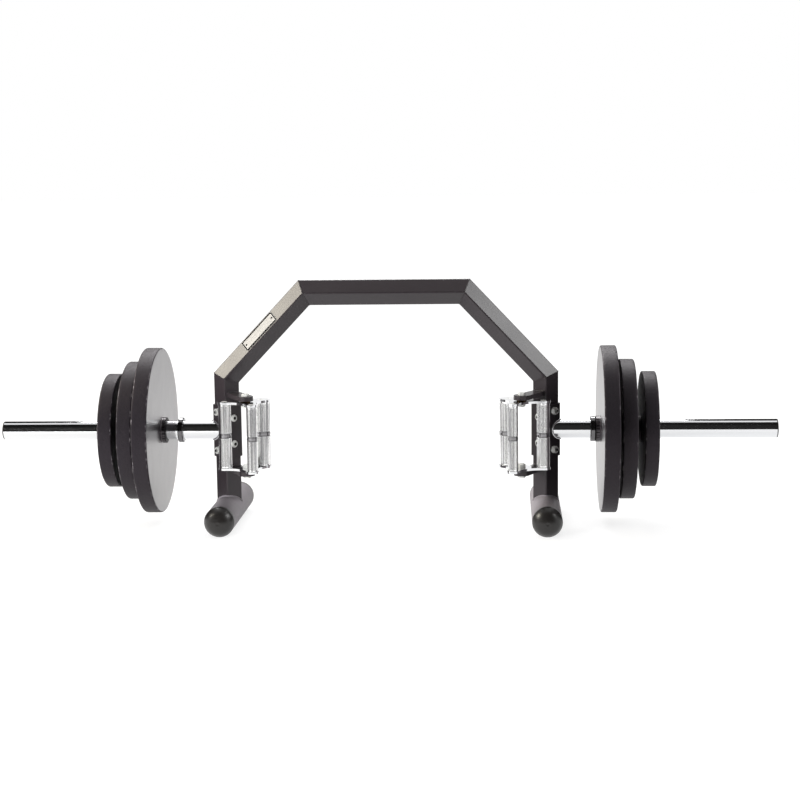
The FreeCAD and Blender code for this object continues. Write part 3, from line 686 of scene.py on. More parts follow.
@functools.cache
def knurl_tree(length):
    """Grip of one length about the Z axis: knurled halves, a bare band between grooves, bevelled ends."""
    sizes = bpy.context.scene.trap_bar_grips
    tree, given = start_tree("Knurled grip", {
        "Radius": "NodeSocketFloat",
        "Length": "NodeSocketFloat",
        "Columns": "NodeSocketInt",
        "Rows": "NodeSocketInt",
        "Groove Depth": "NodeSocketFloat",
        "Knurl Depth": "NodeSocketFloat",
        "End Chamfer": "NodeSocketFloat",
        "Material": "NodeSocketMaterial",
    })
    blank = add_node(tree, "GeometryNodeMeshCylinder", {
        "Vertices": given["Columns"], "Side Segments": given["Rows"],
        "Radius": given["Radius"], "Depth": given["Length"]})
    place = add_node(tree, "GeometryNodeInputPosition").outputs["Position"]
    height = add_node(tree, "ShaderNodeSeparateXYZ", {"Vector": place}).outputs["Z"]
    reach = add_node(tree, "ShaderNodeMath", {0: height}, operation="ABSOLUTE").outputs["Value"]
    share = add_node(tree, "ShaderNodeMath", {0: reach, 1: given["Length"]}, operation="DIVIDE")

    # Zones from mid height to the end: red is a groove, green knurling, blue a bevel, alpha bare steel.
    zone = add_node(tree, "ShaderNodeValToRGB", {"Fac": share.outputs["Value"]})
    groove_end = sizes.smooth_band / 2 + sizes.groove_width
    stops = (
        (0.0, (0, 0, 0, 1)),
        (sizes.smooth_band / 2, (1, 0, 0, 1)),
        (groove_end, (0, 1, 0, 0)),
        (length / 2 - sizes.end_land, (0, 0, 0, 0)),
        (length / 2 - sizes.end_chamfer / 2, (0, 0, 1, 0)),
    )
    zone.color_ramp.interpolation = "CONSTANT"
    while len(zone.color_ramp.elements) < len(stops):
        zone.color_ramp.elements.new(1.0)
    for element, (start, amounts) in zip(zone.color_ramp.elements, stops):
        element.position = start / length
        element.color = amounts

    # Points of the knurl stand on every other crossing, as on a chessboard, and the rest are its valleys.
    index = add_node(tree, "GeometryNodeInputIndex").outputs["Index"]
    turns = add_node(tree, "ShaderNodeMath", {0: index, 1: given["Columns"]}, operation="DIVIDE")
    row = add_node(tree, "ShaderNodeMath", {0: turns.outputs["Value"]}, operation="FLOOR")
    crossing = add_node(tree, "ShaderNodeMath", {0: index, 1: row.outputs["Value"]}, operation="ADD")
    valley = add_node(tree, "ShaderNodeMath", {
        0: crossing.outputs["Value"], 1: 2.0}, operation="FLOORED_MODULO")
    knurl = add_node(tree, "ShaderNodeMath", {
        0: valley.outputs["Value"], 1: given["Knurl Depth"]}, operation="MULTIPLY")

    depths = add_node(tree, "ShaderNodeCombineXYZ", {
        "X": given["Groove Depth"], "Y": knurl.outputs["Value"], "Z": given["End Chamfer"]})
    cut = add_node(tree, "ShaderNodeVectorMath", {
        0: zone.outputs["Color"], 1: depths.outputs["Vector"]}, operation="DOT_PRODUCT")
    lost = add_node(tree, "ShaderNodeMath", {
        0: cut.outputs["Value"], 1: given["Radius"]}, operation="DIVIDE")
    kept = add_node(tree, "ShaderNodeMath", {0: 1.0, 1: lost.outputs["Value"]}, operation="SUBTRACT")
    shrink = add_node(tree, "ShaderNodeCombineXYZ", {
        "X": kept.outputs["Value"], "Y": kept.outputs["Value"], "Z": 1.0})
    inwards = add_node(tree, "ShaderNodeVectorMath", {
        0: place, 1: shrink.outputs["Vector"]}, operation="MULTIPLY")
    cut_out = add_node(tree, "GeometryNodeSetPosition", {
        "Geometry": blank.outputs["Mesh"], "Position": inwards.outputs["Vector"]})
    marked = add_node(tree, "GeometryNodeStoreNamedAttribute", {
        "Geometry": cut_out.outputs["Geometry"], "Name": "bare", "Value": zone.outputs["Alpha"]},
        data_type="FLOAT", domain="POINT")
    # The shorter diagonal of each cell joins two valleys, so every diamond keeps its four flanks.
    cells = add_node(tree, "GeometryNodeTriangulate", {"Mesh": marked.outputs["Geometry"]},
                     quad_method="SHORTEST_DIAGONAL")
    sharp = add_node(tree, "GeometryNodeSetShadeSmooth", {
        "Geometry": cells.outputs["Mesh"], "Shade Smooth": False})
    return end_tree(tree, sharp.outputs["Geometry"], given["Material"])


def lathe(shape, outline, segments, place, closed):
    """Turn (along, radius) points about the X axis, put them in place, and add the form to a bmesh."""
    rings = []
    for along, radius in outline:
        count = segments if radius > 0 else 1
        angles = [math.tau * index / count for index in range(count)]
        rings.append([
            shape.verts.new(place @ Vector((along, radius * math.cos(angle), radius * math.sin(angle))))
            for angle in angles
        ])
    pairs = list(zip(rings, rings[1:]))
    if closed:
        pairs.append((rings[-1], rings[0]))
    for ring, next_ring in pairs:
        for index in range(segments):
            corners = [
                ring[index % len(ring)],
                ring[(index + 1) % len(ring)],
                next_ring[(index + 1) % len(next_ring)],
                next_ring[index % len(next_ring)],
            ]
            shape.faces.new(dict.fromkeys(corners))
    bmesh.ops.recalc_face_normals(shape, faces=shape.faces)


def finished_mesh(name, shape, material, sharp_angle):
    """Close a bmesh into a mesh that is smooth but for its edges sharper than an angle."""
    for face in shape.faces:
        face.smooth = True
    for edge in shape.edges:
        edge.smooth = edge.calc_face_angle(0.0) < sharp_angle
    mesh = bpy.data.meshes.new(name)
    shape.to_mesh(mesh)
    shape.free()
    mesh.materials.append(material)
    return mesh


def rounded_outline(corners, steps):
    """Closed outline through (along, radius, fillet) corners, with an arc where there is a fillet."""
    outline = []
    for index, (along, radius, fillet) in enumerate(corners):
        here = Vector((along, radius))
        if fillet == 0:
            outline.append(here)
            continue
        back = (Vector(corners[index - 1][:2]) - here).normalized()
        onward = (Vector(corners[(index + 1) % len(corners)][:2]) - here).normalized()
        half = back.angle(onward) / 2
        centre = here + (back + onward).normalized() * (fillet / math.sin(half))
        first = here + back * (fillet / math.tan(half)) - centre
        last = here + onward * (fillet / math.tan(half)) - centre
        spokes = [first.slerp(last, step / steps) for step in range(steps + 1)]
        outline.extend(centre + spoke * fillet for spoke in spokes)
    return outline


def with_short_runs(outline, longest):
    """The same closed outline, with points added on its long runs."""
    points = []
    for here, there in zip(outline, outline[1:] + outline[:1]):
        count = max(1, math.ceil((there - here).length / longest))
        points.extend(here.lerp(there, index / count) for index in range(count))
    return points


# Paths of the welds, threads and border

def tube_outline(side, corner_radius, steps=6):
    """Points round a square tube on edge: offset in the plane of the frame, and offset in depth."""
    centre_reach = side * HALF_DIAGONAL - corner_radius * math.sqrt(2)
    points = []
    for corner in range(4):
        middle = corner * math.pi / 2
        for step in range(steps + 1):
            angle = middle + (step / steps - 0.5) * math.pi / 2
            points.append((
                centre_reach * math.cos(middle) + corner_radius * math.cos(angle),
                centre_reach * math.sin(middle) + corner_radius * math.sin(angle),
            ))
    return points


def bends(sign):
    """Lower and upper bend of the frame on one side."""
    sizes = bpy.context.scene.trap_bar_frame
    low = Vector((sign * LEG_X, 0, CROSSBAR_HEIGHT - sizes.bend_rise))
    high = Vector((sign * (LEG_X - sizes.bend_run), 0, CROSSBAR_HEIGHT))
    return low, high


def mitre_path(corner, way_in, way_out):
    """Seam round the tube where two lengths of it meet at a corner."""
    sizes = bpy.context.scene.trap_bar_frame
    half_turn = way_in.angle(way_out) / 2
    on_seam = (way_in.normalized() + way_out.normalized()).cross(FRONT).normalized()
    outline = tube_outline(sizes.tube_side, sizes.corner_radius)
    return [corner + on_seam * (across / math.cos(half_turn)) + FRONT * depth for across, depth in outline]


def frame_seams():
    """Seams of the four mitred bends."""
    paths = []
    for sign in SIDES.values():
        low, high = bends(sign)
        along = Vector((-sign, 0, 0))
        paths.append(mitre_path(low, UP, high - low))
        paths.append(mitre_path(high, high - low, along))
    return paths


def foot_seams(longest_run=0.004):
    """Saddle-shaped seams where the legs stand on the round foot tubes."""
    sizes = bpy.context.scene.trap_bar_frame
    outline = [Vector(point) for point in tube_outline(sizes.tube_side, sizes.corner_radius)]
    paths = []
    for sign in SIDES.values():
        paths.append([
            Vector((sign * LEG_X + across, depth, FOOT_RADIUS + math.sqrt(FOOT_RADIUS ** 2 - across ** 2)))
            for across, depth in with_short_runs(outline, longest_run)
        ])
    return paths


def sleeve_seams(steps=72):
    """Seams where the round sleeves meet the bent clamp plates."""
    sizes = bpy.context.scene.trap_bar_frame
    ridge_reach = sizes.saddle_side * HALF_DIAGONAL
    arc_centre = ridge_reach - sizes.saddle_radius * math.sqrt(2)
    arc_half_width = sizes.saddle_radius * HALF_DIAGONAL
    sleeve_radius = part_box("right_sleeve")[1].y
    paths = []
    for sign in SIDES.values():
        path = []
        for step in range(steps):
            angle = math.tau * step / steps
            depth = sleeve_radius * math.cos(angle)
            height = SLEEVE_HEIGHT + sleeve_radius * math.sin(angle)
            reach = ridge_reach - abs(depth)
            if abs(depth) < arc_half_width:
                reach = arc_centre + math.sqrt(sizes.saddle_radius ** 2 - depth ** 2)
            path.append(Vector((sign * (LEG_X + reach), depth, height)))
        paths.append(path)
    return paths


def bracket_seams():
    """Seams round the roots of the four brackets, on the inner front flats of the legs."""
    sizes = bpy.context.scene.trap_bar_frame
    half_root = sizes.tube_side / 2 - sizes.corner_radius - sizes.bracket_margin
    paths = []
    for side, sign in SIDES.items():
        normal = (FRONT + Vector((-sign, 0, 0))) * HALF_DIAGONAL
        across = (FRONT + Vector((sign, 0, 0))) * HALF_DIAGONAL
        root = Vector((sign * LEG_X, 0, 0)) + normal * (sizes.tube_side / 2)
        for bracket in ("upper_bracket", "lower_bracket"):
            low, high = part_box(side + "_" + bracket)
            corners = [(-half_root, low.z), (half_root, low.z), (half_root, high.z), (-half_root, high.z)]
            paths.append([root + across * reach + UP * height for reach, height in corners])
    return paths


def bolt_ends():
    """Where the clamp bolts come out of their nuts, and the way that they point."""
    sizes = bpy.context.scene.trap_bar_threads
    ends = []
    for sign in SIDES.values():
        nut_front = (FRONT + Vector((sign, 0, 0))) * HALF_DIAGONAL
        nut_back = (-FRONT + Vector((sign, 0, 0))) * HALF_DIAGONAL
        for row, way in ((sizes.nut_row, nut_front), (sizes.head_row, nut_back)):
            for level in (row / 2, -row / 2):
                ends.append((Vector((sign * LEG_X, 0, SLEEVE_HEIGHT + level)) + way * sizes.nut_top, way))
    return ends


def thread_paths(points_per_turn=24):
    """Helices on the ends of the clamp bolts that stand out of their nuts."""
    sizes = bpy.context.scene.trap_bar_threads
    rise = sizes.bolt_end - sizes.nut_top - sizes.tip_chamfer
    turns = rise / sizes.thread_pitch
    count = math.ceil(turns * points_per_turn)
    paths = []
    for start, way in bolt_ends():
        across = UP.cross(way)
        path = []
        for index in range(count + 1):
            angle = math.tau * turns * index / count
            spoke = (UP * math.cos(angle) + across * math.sin(angle)) * sizes.bolt_radius
            path.append(start + way * (rise * index / count) + spoke)
        paths.append(path)
    return paths


def border_path(steps=6):
    """Border line of the blank plate, inside its edge, on the upper front face of the left diagonal."""
    sizes = bpy.context.scene.trap_bar_label
    low, high = bends(SIDES["left"])
    along = (high - low).normalized()
    outwards = FRONT.cross(along)
    normal = (outwards + FRONT) * HALF_DIAGONAL
    across = normal.cross(along)
    face = bpy.context.scene.trap_bar_frame.tube_side / 2 + sizes.plate_thickness
    middle = (low + high) / 2 + normal * face
    half_length = sizes.plate_length / 2 - sizes.border_inset
    half_width = sizes.plate_width / 2 - sizes.border_inset
    corners = [
        (-half_length, -half_width, sizes.border_inset),
        (half_length, -half_width, sizes.border_inset),
        (half_length, half_width, sizes.border_inset),
        (-half_length, half_width, sizes.border_inset),
    ]
    return [middle + along * reach + across * side for reach, side in rounded_outline(corners, steps)]


# Operators, one for each group of like pieces

class TRAPBAR_OT_frame_tubes(Operator):
    """Powder coat the tubes of the frame, the brackets and the clamp plates"""
    bl_idname = "trap_bar.frame_tubes"
    bl_label = "Frame tubes"

    def execute(self, context):
        finish_nodes(powder_coat(), "crossbar", *both_sides(
            "diagonal", "leg", "sleeve_saddle", "backing_plate", "upper_bracket", "lower_bracket"))
        return {"FINISHED"}


class TRAPBAR_OT_weld_beads(Operator):
    """Lay weld beads round the mitres, feet, sleeves and brackets"""
    bl_idname = "trap_bar.weld_beads"
    bl_label = "Weld beads"

    def execute(self, context):
        sizes = context.scene.trap_bar_frame
        groups = (
            ("frame_seam_welds", frame_seams(), sizes.seam_bead, powder_coat(), "black_powder_coat"),
            ("foot_welds", foot_seams(), sizes.foot_bead, grey_enamel(), "grey_enamel"),
            ("sleeve_welds", sleeve_seams(), sizes.sleeve_bead, polished_chrome(), "chrome_plate"),
            ("bracket_welds", bracket_seams(), sizes.bracket_bead, powder_coat(), "black_powder_coat"),
        )
        for name, paths, radius, material, slot in groups:
            mesh = ridge(
                name, paths, closed=True, radius=radius, material=material,
                pitch=sizes.ripple_pitch, share=sizes.ripple_share)
            add_piece(name, mesh, "bar")
        return {"FINISHED"}


class TRAPBAR_OT_feet(Operator):
    """Paint the foot tubes and make their moulded caps"""
    bl_idname = "trap_bar.feet"
    bl_label = "Feet"

    def execute(self, context):
        sizes = context.scene.trap_bar_feet
        finish_nodes(grey_enamel(), *both_sides("foot_tube"))
        outline = self.cap_outline(sizes)
        for side, sign in SIDES.items():
            caps = bmesh.new()
            for turn, mouth in ((-math.pi / 2, -FOOT_MOUTH), (math.pi / 2, FOOT_MOUTH)):
                seat = Matrix.Translation((sign * LEG_X, mouth, FOOT_RADIUS)) @ Matrix.Rotation(turn, 4, "Z")
                lathe(caps, outline, segments=96, place=seat, closed=False)
            name = side + "_domed_foot_caps"
            mesh = finished_mesh(name, caps, moulded_plastic(), sharp_angle=math.radians(35))
            piece = add_piece(name, mesh, "bar")
            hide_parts(side + "_foot_caps")
        return {"FINISHED"}

    def cap_outline(self, sizes, lip_turns=4, dome_rings=22):
        """Half section of a cap: plug, straight lip, step, dome, and the mould's mark at the crown."""
        plug_radius = FOOT_RADIUS - sizes.tube_wall
        dome_radius = FOOT_RADIUS - sizes.step_depth
        dome_height = FOOT_CAP_REACH - sizes.lip_width
        ball_radius = (dome_radius ** 2 + dome_height ** 2) / (2 * dome_height)
        ball_centre = FOOT_CAP_REACH - ball_radius
        rim_angle = math.asin(dome_radius / ball_radius)
        gate_angle = math.asin(sizes.gate_radius / ball_radius)
        gate_floor = FOOT_CAP_REACH - sizes.gate_depth
        outline = [
            (-sizes.plug_depth, 0.0), (-sizes.plug_depth, plug_radius),
            (0.0, plug_radius), (0.0, FOOT_RADIUS),
        ]
        for index in range(lip_turns + 1):
            angle = math.pi / 2 * index / lip_turns
            outline.append((
                sizes.lip_width - sizes.lip_radius + sizes.lip_radius * math.sin(angle),
                FOOT_RADIUS - sizes.lip_radius + sizes.lip_radius * math.cos(angle),
            ))
        for index in range(dome_rings + 1):
            angle = rim_angle + (gate_angle - rim_angle) * index / dome_rings
            outline.append((ball_centre + ball_radius * math.cos(angle), ball_radius * math.sin(angle)))
        outline.append((gate_floor, sizes.gate_radius - sizes.gate_depth))
        outline.append((gate_floor, 0.0))
        return outline


class TRAPBAR_OT_sleeves(Operator):
    """Chrome the sleeves and stop rings, and finish the plugs in their tips"""
    bl_idname = "trap_bar.sleeves"
    bl_label = "Sleeves"

    def execute(self, context):
        finish_nodes(polished_chrome(), *both_sides("sleeve"))
        finish_nodes(turned_chrome(), *both_sides("stop_ring"))
        finish_nodes(moulded_plastic(), *both_sides("sleeve_plug"))
        return {"FINISHED"}


class TRAPBAR_OT_fasteners(Operator):
    """Finish the bolts, nuts, washers, screws and bushes, and thread and oil the clamp bolts, with painted
    shade in the sockets of their heads
    """
    bl_idname = "trap_bar.fasteners"
    bl_label = "Fasteners"

    def execute(self, context):
        sizes = context.scene.trap_bar_threads
        finish_nodes(zinc_plate(), *both_sides(
            "clamp_bolts", "clamp_nuts", "clamp_washers",
            "pivot_bolts", "pivot_lock_nuts", "pivot_nuts", "grip_screws"))
        finish_nodes(sintered_bronze(), *both_sides("pivot_bushes"))
        crest = sizes.thread_pitch / 4
        mesh = ridge(
            "clamp_bolt_threads", thread_paths(), closed=False, radius=crest,
            material=oiled_steel_and_socket_shade(), step=crest)
        add_piece("clamp_bolt_threads", mesh, "bar")
        tip_radius = sizes.bolt_radius + sizes.oil_film
        tip_length = sizes.bolt_end - sizes.nut_top + sizes.oil_film
        tip = [
            (0.0, 0.0), (0.0, tip_radius), (tip_length - sizes.tip_chamfer, tip_radius),
            (tip_length, tip_radius - sizes.tip_chamfer), (tip_length, 0.0),
        ]
        # A near black disc in the socket of each head is painted shade.
        socket_shade = [
            (-sizes.socket_depth, 0.0), (-sizes.socket_depth, sizes.socket_radius),
            (-sizes.socket_shade_depth, sizes.socket_radius), (-sizes.socket_shade_depth, 0.0),
        ]
        dark = bmesh.new()
        for start, way in bolt_ends():
            crown = start - way * (sizes.nut_top + sizes.head_top)
            for outline, place, axis in ((tip, start, way), (socket_shade, crown, -way)):
                seat = Matrix.Translation(place) @ axis.to_track_quat("X", "Z").to_matrix().to_4x4()
                lathe(dark, outline, segments=24, place=seat, closed=False)
        mesh = finished_mesh("clamp_bolt_oil_and_socket_shade", dark, oiled_steel_and_socket_shade(), sharp_angle=math.radians(30))
        add_piece("clamp_bolt_oil_and_socket_shade", mesh, "bar")
        return {"FINISHED"}


class TRAPBAR_OT_grips(Operator):
    """Knurl the three grips of each cage and chrome its end plates"""
    bl_idname = "trap_bar.grips"
    bl_label = "Grips"

    def execute(self, context):
        sizes = context.scene.trap_bar_grips
        finish_nodes(polished_chrome(), *both_sides("upper_end_plate", "lower_end_plate"))
        half_pitch = sizes.knurl_pitch / 2
        for side in SIDES:
            for kind in GRIP_KINDS:
                node = side + "_" + kind + "_grip"
                low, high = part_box(node)
                radius = (high.x - low.x) / 2
                length = high.z - low.z
                name = side + "_" + kind + "_knurled_grip"
                holder = path_holder(name, [[Vector()]], closed=False)
                mesh = mesh_from_tree(holder, knurl_tree(length), {
                    "Radius": radius,
                    "Length": length,
                    "Columns": 2 * round(math.pi * radius / half_pitch),
                    "Rows": round(length / half_pitch),
                    "Groove Depth": sizes.groove_depth,
                    "Knurl Depth": sizes.knurl_depth,
                    "End Chamfer": sizes.end_chamfer,
                    "Material": knurled_chrome(),
                })
                mesh.transform(Matrix.Translation((low + high) / 2))
                piece = add_piece(name, mesh, side + "_cage")
                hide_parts(node)
        return {"FINISHED"}


class TRAPBAR_OT_weight_plates(Operator):
    """Cast the weight plates: dished iron that wanders a little, rubbed on the edges of the rim"""
    bl_idname = "trap_bar.weight_plates"
    bl_label = "Weight plates"

    def execute(self, context):
        for side, sign in SIDES.items():
            for index, kind in enumerate(PLATE_KINDS):
                self.cast(context.scene.trap_bar_plates, side, sign, index, kind)
        return {"FINISHED"}

    def cast(self, sizes, side, sign, index, kind):
        """One plate on one side, flat towards the lifter and dished outwards."""
        node = side + "_" + kind + "_plate"
        name = side + "_" + kind + "_cast_plate"
        low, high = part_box(node)
        rim_radius = (high.z - low.z) / 2
        outline = self.section(sizes, index, high.x - low.x, rim_radius)
        seat = Vector((low.x if sign > 0 else high.x, 0, SLEEVE_HEIGHT))
        place = Matrix.Translation(seat) @ Matrix.Diagonal((sign, 1, 1, 1))
        sectors = 16
        sector_length = rim_radius * math.tau / sectors
        segments = sectors * math.ceil(sector_length / sizes.mesh_step)
        shape = bmesh.new()
        lathe(shape, outline, segments=segments, place=place, closed=True)
        self.weather(shape, sizes, index, seat, rim_radius)
        mesh = finished_mesh(name, shape, painted_cast_iron(), sharp_angle=math.radians(40))
        piece = add_piece(name, mesh, side + "_" + kind)
        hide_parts(node)

    def section(self, sizes, index, width, rim_radius):
        """Half section of a plate: boss, flat face, rim, dish and hub."""
        web_face = sizes.boss_height + sizes.webs[index]
        hub_face = width - sizes.hub_recess
        dish_radius = rim_radius - sizes.rim_widths[index]
        corners = (
            (0.0, sizes.bore_radius, sizes.lip_radius / 2),
            (0.0, sizes.boss_radius, sizes.lip_radius),
            (sizes.boss_height, sizes.boss_radius, sizes.lip_radius),
            (sizes.boss_height, rim_radius, sizes.edge_radius),
            (width, rim_radius, sizes.edge_radius),
            (width, dish_radius, sizes.lip_radius),
            (web_face, dish_radius - sizes.draft, sizes.cast_radius),
            (web_face, sizes.hub_radius + sizes.draft, sizes.cast_radius),
            (hub_face, sizes.hub_radius, sizes.lip_radius),
            (hub_face, sizes.bore_radius, sizes.lip_radius / 2),
        )
        return with_short_runs(rounded_outline(corners, steps=5), sizes.mesh_step)

    def weather(self, shape, sizes, index, seat, rim_radius, rub_start=0.02, rub_end=0.8):
        """Mark the rubbed edge, the boss that takes painted shade and the sleek face, and let the casting
        wander.

        The rub starts and ends at shares of the edge's radius, counted from the rim inwards.
        """
        rubbed = shape.verts.layers.float.new("rubbed")
        face = shape.verts.layers.float.new("face")
        hub = shape.verts.layers.float.new("hub")
        shape.normal_update()
        for vertex in shape.verts:
            along = abs(vertex.co.x - seat.x)
            radius = math.hypot(vertex.co.y, vertex.co.z - SLEEVE_HEIGHT)
            in_edge = (rim_radius - radius) / sizes.edge_radius
            on_face = in_edge >= rub_end and radius > sizes.boss_radius
            vertex[rubbed] = 1.0 if rub_start < in_edge < rub_end else 0.0
            # The boss gets its painted shade through this mark.
            vertex[hub] = 1.0 if along < sizes.boss_height and radius <= sizes.boss_radius else 0.0
            vertex[face] = sizes.face_gloss[index] if on_face else 0.0
            if radius > sizes.hub_radius:
                wander = noise.noise(vertex.co / sizes.wave_length)
                vertex.co += vertex.normal * (sizes.wave_height * (wander - 1))


class TRAPBAR_OT_blank_plate(Operator):
    """Finish the blank plate on the diagonal, with a border line and rivets"""
    bl_idname = "trap_bar.blank_plate"
    bl_label = "Blank plate"

    def execute(self, context):
        sizes = context.scene.trap_bar_label
        finish_nodes(brushed_aluminium(), "name_plate")
        finish_nodes(black_enamel(), "name_plate_rivets")
        mesh = ridge(
            "blank_plate_border", [border_path()], closed=True, radius=sizes.border_radius,
            material=black_enamel())
        add_piece("blank_plate_border", mesh, "bar")
        return {"FINISHED"}


class TRAPBAR_OT_stage(Operator):
    """Set the floor, the softboxes, the black flags, the white surround and the camera"""
    bl_idname = "trap_bar.stage"
    bl_label = "Stage"

    def execute(self, context):
        stage = context.scene.trap_bar_stage
        context.scene.view_settings.view_transform = "Standard"
        self.set_surround(context.scene, stage)
        self.lay_floor(stage)
        self.hang_flags(stage)
        self.set_softboxes(stage)
        self.add_camera(context.scene, stage)
        return {"FINISHED"}

    def seen_white(self, tree):
        """1 for rays that see the surround, from the camera, metal or glass, and 0 for matt surfaces."""
        path = add_node(tree, "ShaderNodeLightPath")
        metal = add_node(tree, "ShaderNodeMath", {
            0: path.outputs["Is Camera Ray"], 1: path.outputs["Is Glossy Ray"]}, operation="MAXIMUM")
        glass = add_node(tree, "ShaderNodeMath", {
            0: metal.outputs["Value"], 1: path.outputs["Is Transmission Ray"]}, operation="MAXIMUM")
        return glass.outputs["Value"]

    def set_surround(self, scene, stage):
        """White all round where it is seen, and a softer light from it on matt surfaces."""
        scene.world = bpy.data.worlds.new("white_surround")
        scene.world.use_nodes = True
        tree = scene.world.node_tree
        tree.nodes.clear()
        strength = add_node(tree, "ShaderNodeMapRange", {
            "Value": self.seen_white(tree), "To Min": stage.ambient, "To Max": 1.0})
        sky = add_node(tree, "ShaderNodeBackground", {
            "Color": stage.floor_white, "Strength": strength.outputs["Result"]})
        add_node(tree, "ShaderNodeOutputWorld", {"Surface": sky.outputs["Background"]})

    def lay_floor(self, stage):
        """Wide matt floor that is white where it is seen and keeps a soft shadow."""
        half = 40.0
        corners = [(-half, -half, 0), (half, -half, 0), (half, half, 0), (-half, half, 0)]
        mesh = bpy.data.meshes.new("floor")
        mesh.from_pydata(corners, [], [(0, 1, 2, 3)])
        material = bpy.data.materials.new("paper_matt_white")
        material.use_nodes = True
        tree = material.node_tree
        tree.nodes.clear()
        matt = add_node(tree, "ShaderNodeBsdfDiffuse", {"Color": stage.floor_grey})
        # Near the bar the lamps light the floor; farther out a glow takes over, so that it stays white.
        place = add_node(tree, "ShaderNodeTexCoord").outputs["Object"]
        reach = add_node(tree, "ShaderNodeVectorMath", {0: place}, operation="LENGTH").outputs["Value"]
        glow = add_node(tree, "ShaderNodeMapRange", {
            "Value": reach, "From Min": 1.0, "From Max": 4.0, "To Min": 0.8, "To Max": 1.0})
        seen = add_node(tree, "ShaderNodeMath", {
            0: glow.outputs["Result"], 1: self.seen_white(tree)}, operation="MULTIPLY")
        white = add_node(tree, "ShaderNodeEmission", {
            "Color": stage.floor_white, "Strength": seen.outputs["Value"]})
        both = add_node(tree, "ShaderNodeAddShader", {0: matt.outputs["BSDF"], 1: white.outputs["Emission"]})
        add_node(tree, "ShaderNodeOutputMaterial", {"Surface": both.outputs["Shader"]})
        mesh.materials.append(material)
        floor = bpy.data.objects.new("floor", mesh)
        bpy.context.scene.collection.objects.link(floor)

    def hang_flags(self, stage):
        """Black cloths that only polished surfaces see, which give the chrome its dark bands."""
        material = bpy.data.materials.new("felt_black")
        material.use_nodes = True
        surface = material.node_tree.nodes["Principled BSDF"]
        set_inputs(material.node_tree, surface, {"Base Color": stage.flag_black, "Roughness": 1.0})
        half_width = 4.5
        # Name, left and right end, then the depth and height of the first and the second long edge
        strips = (
            ("front_flag", -half_width, half_width, (-2.6, 0.0), (-2.6, 4.0)),
            ("front_ceiling_flag", -half_width, half_width, (-2.6, 4.0), (-0.1, 4.0)),
            ("back_ceiling_flag", -half_width, half_width, (1.8, 4.0), (4.6, 1.6)),
            ("back_left_flag", -6.5, -1.5, (3.0, 0.0), (3.0, 2.5)),
            ("back_right_flag", 1.3, 6.5, (3.0, 0.0), (3.0, 2.5)),
        )
        for name, left, right, start, end in strips:
            corners = [(left, *start), (right, *start), (right, *end), (left, *end)]
            mesh = bpy.data.meshes.new(name)
            mesh.from_pydata(corners, [], [(0, 1, 2, 3)])
            mesh.materials.append(material)
            flag = bpy.data.objects.new(name, mesh)
            bpy.context.scene.collection.objects.link(flag)
            flag.visible_camera = False
            flag.visible_diffuse = False
            flag.visible_shadow = False

    def set_softboxes(self, stage):
        """Softboxes that are turned to a point a little above the sleeves."""
        rise = 0.2
        target = Vector((0, 0, SLEEVE_HEIGHT + rise))
        # Name, place, width and height, brightness
        softboxes = (
            ("key_softbox", (-3.0, -0.1, 2.25), (1.6, 1.2), stage.key_radiance),
            ("fill_softbox", (3.0, -0.15, 2.55), (1.4, 1.1), stage.fill_radiance),
            ("front_softbox", (-2.4, -4.4, 2.0), (0.9, 0.9), stage.front_radiance),
            ("low_fill", (-1.4, -2.1, 0.5), (1.2, 0.8), stage.low_radiance),
            ("top_strip", (-0.225, 2.2, 2.6), (2.75, 0.9), stage.top_radiance),
        )
        lamps = {}
        for name, place, size, radiance in softboxes:
            lamps[name] = self.add_softbox(name, place, target, size, radiance)
        lamps["key_softbox"].data.color = stage.key_colour[:3]
        lamps["low_fill"].visible_glossy = False

    def add_softbox(self, name, place, target, size, radiance):
        """Rectangular light of a given brightness, turned to its target."""
        light = bpy.data.lights.new(name, "AREA")
        light.shape = "RECTANGLE"
        light.size, light.size_y = size
        light.energy = radiance * math.pi * size[0] * size[1]
        lamp = bpy.data.objects.new(name, light)
        lamp.location = place
        lamp.rotation_euler = (target - Vector(place)).to_track_quat("-Z", "Y").to_euler()
        bpy.context.scene.collection.objects.link(lamp)
        return lamp

    def add_camera(self, scene, stage):
        """Camera at the photograph's viewing angle."""
        lens = bpy.data.cameras.new("camera")
        lens.lens = stage.lens
        lens.sensor_width = 36.0
        lens.clip_end = 200.0
        camera = bpy.data.objects.new("camera", lens)
        turn = Matrix.Rotation(stage.camera_pan, 4, "Z")
        tilt = Matrix.Rotation(math.pi / 2 - stage.camera_tilt, 4, "X")
        roll = Matrix.Rotation(stage.camera_roll, 4, "Z")
        camera.matrix_world = Matrix.Translation(stage.camera_place) @ turn @ tilt @ roll
        scene.collection.objects.link(camera)
        scene.camera = camera


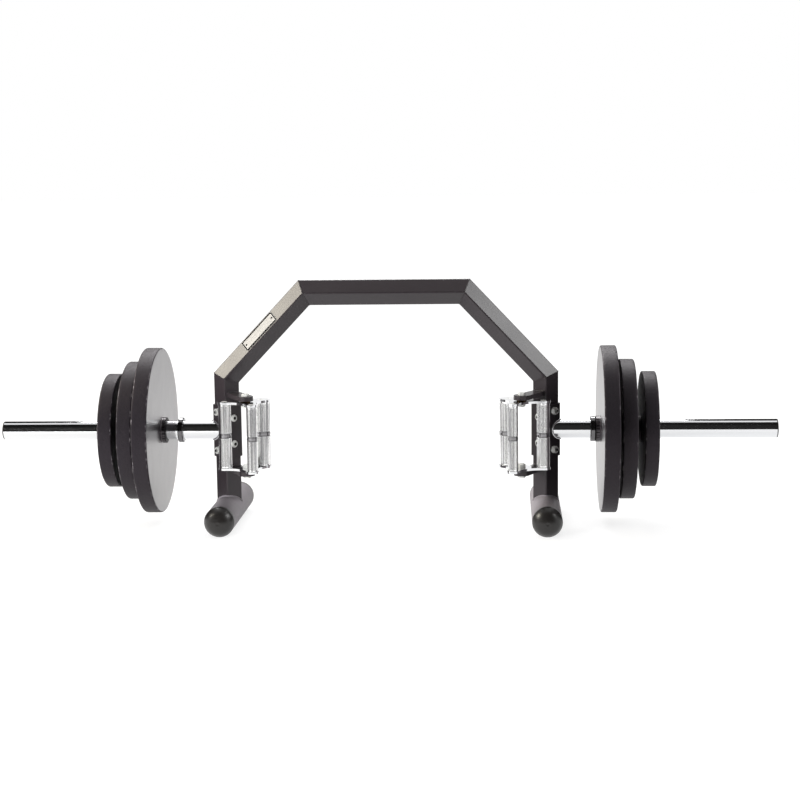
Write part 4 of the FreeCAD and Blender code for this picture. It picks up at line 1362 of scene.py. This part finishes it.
OPERATORS = (
    TRAPBAR_OT_frame_tubes,
    TRAPBAR_OT_weld_beads,
    TRAPBAR_OT_feet,
    TRAPBAR_OT_sleeves,
    TRAPBAR_OT_fasteners,
    TRAPBAR_OT_grips,
    TRAPBAR_OT_weight_plates,
    TRAPBAR_OT_blank_plate,
    TRAPBAR_OT_stage,
)
SETTINGS = {
    "trap_bar_finishes": TrapBarFinishes,
    "trap_bar_frame": TrapBarFrameSizes,
    "trap_bar_threads": TrapBarThreadSizes,
    "trap_bar_grips": TrapBarGripSizes,
    "trap_bar_feet": TrapBarFootSizes,
    "trap_bar_plates": TrapBarPlateSizes,
    "trap_bar_label": TrapBarLabelSizes,
    "trap_bar_stage": TrapBarStage,
}


class TRAPBAR_PT_pieces(Panel):
    """Lists the pieces of the trap bar and their sizes"""
    bl_idname = "TRAPBAR_PT_pieces"
    bl_label = "Trap Bar"
    bl_space_type = "VIEW_3D"
    bl_region_type = "UI"
    bl_category = "Trap Bar"

    def draw(self, context):
        for operator in OPERATORS:
            self.layout.operator(operator.bl_idname)
        for name, group in SETTINGS.items():
            box = self.layout.box()
            box.label(text=group.__doc__)
            for label in group.__annotations__:
                box.prop(getattr(context.scene, name), label)


def register():
    for name, group in SETTINGS.items():
        bpy.utils.register_class(group)
        setattr(bpy.types.Scene, name, PointerProperty(type=group))
    for operator in OPERATORS:
        bpy.utils.register_class(operator)
    bpy.utils.register_class(TRAPBAR_PT_pieces)


def unregister():
    bpy.utils.unregister_class(TRAPBAR_PT_pieces)
    for operator in reversed(OPERATORS):
        bpy.utils.unregister_class(operator)
    for name, group in reversed(SETTINGS.items()):
        delattr(bpy.types.Scene, name)
        bpy.utils.unregister_class(group)


def main():
    register()
    bpy.ops.trap_bar.frame_tubes()
    bpy.ops.trap_bar.weld_beads()
    bpy.ops.trap_bar.feet()
    bpy.ops.trap_bar.sleeves()
    bpy.ops.trap_bar.fasteners()
    bpy.ops.trap_bar.grips()
    bpy.ops.trap_bar.weight_plates()
    bpy.ops.trap_bar.blank_plate()
    bpy.ops.trap_bar.stage()


if __name__ == "__main__":
    main()
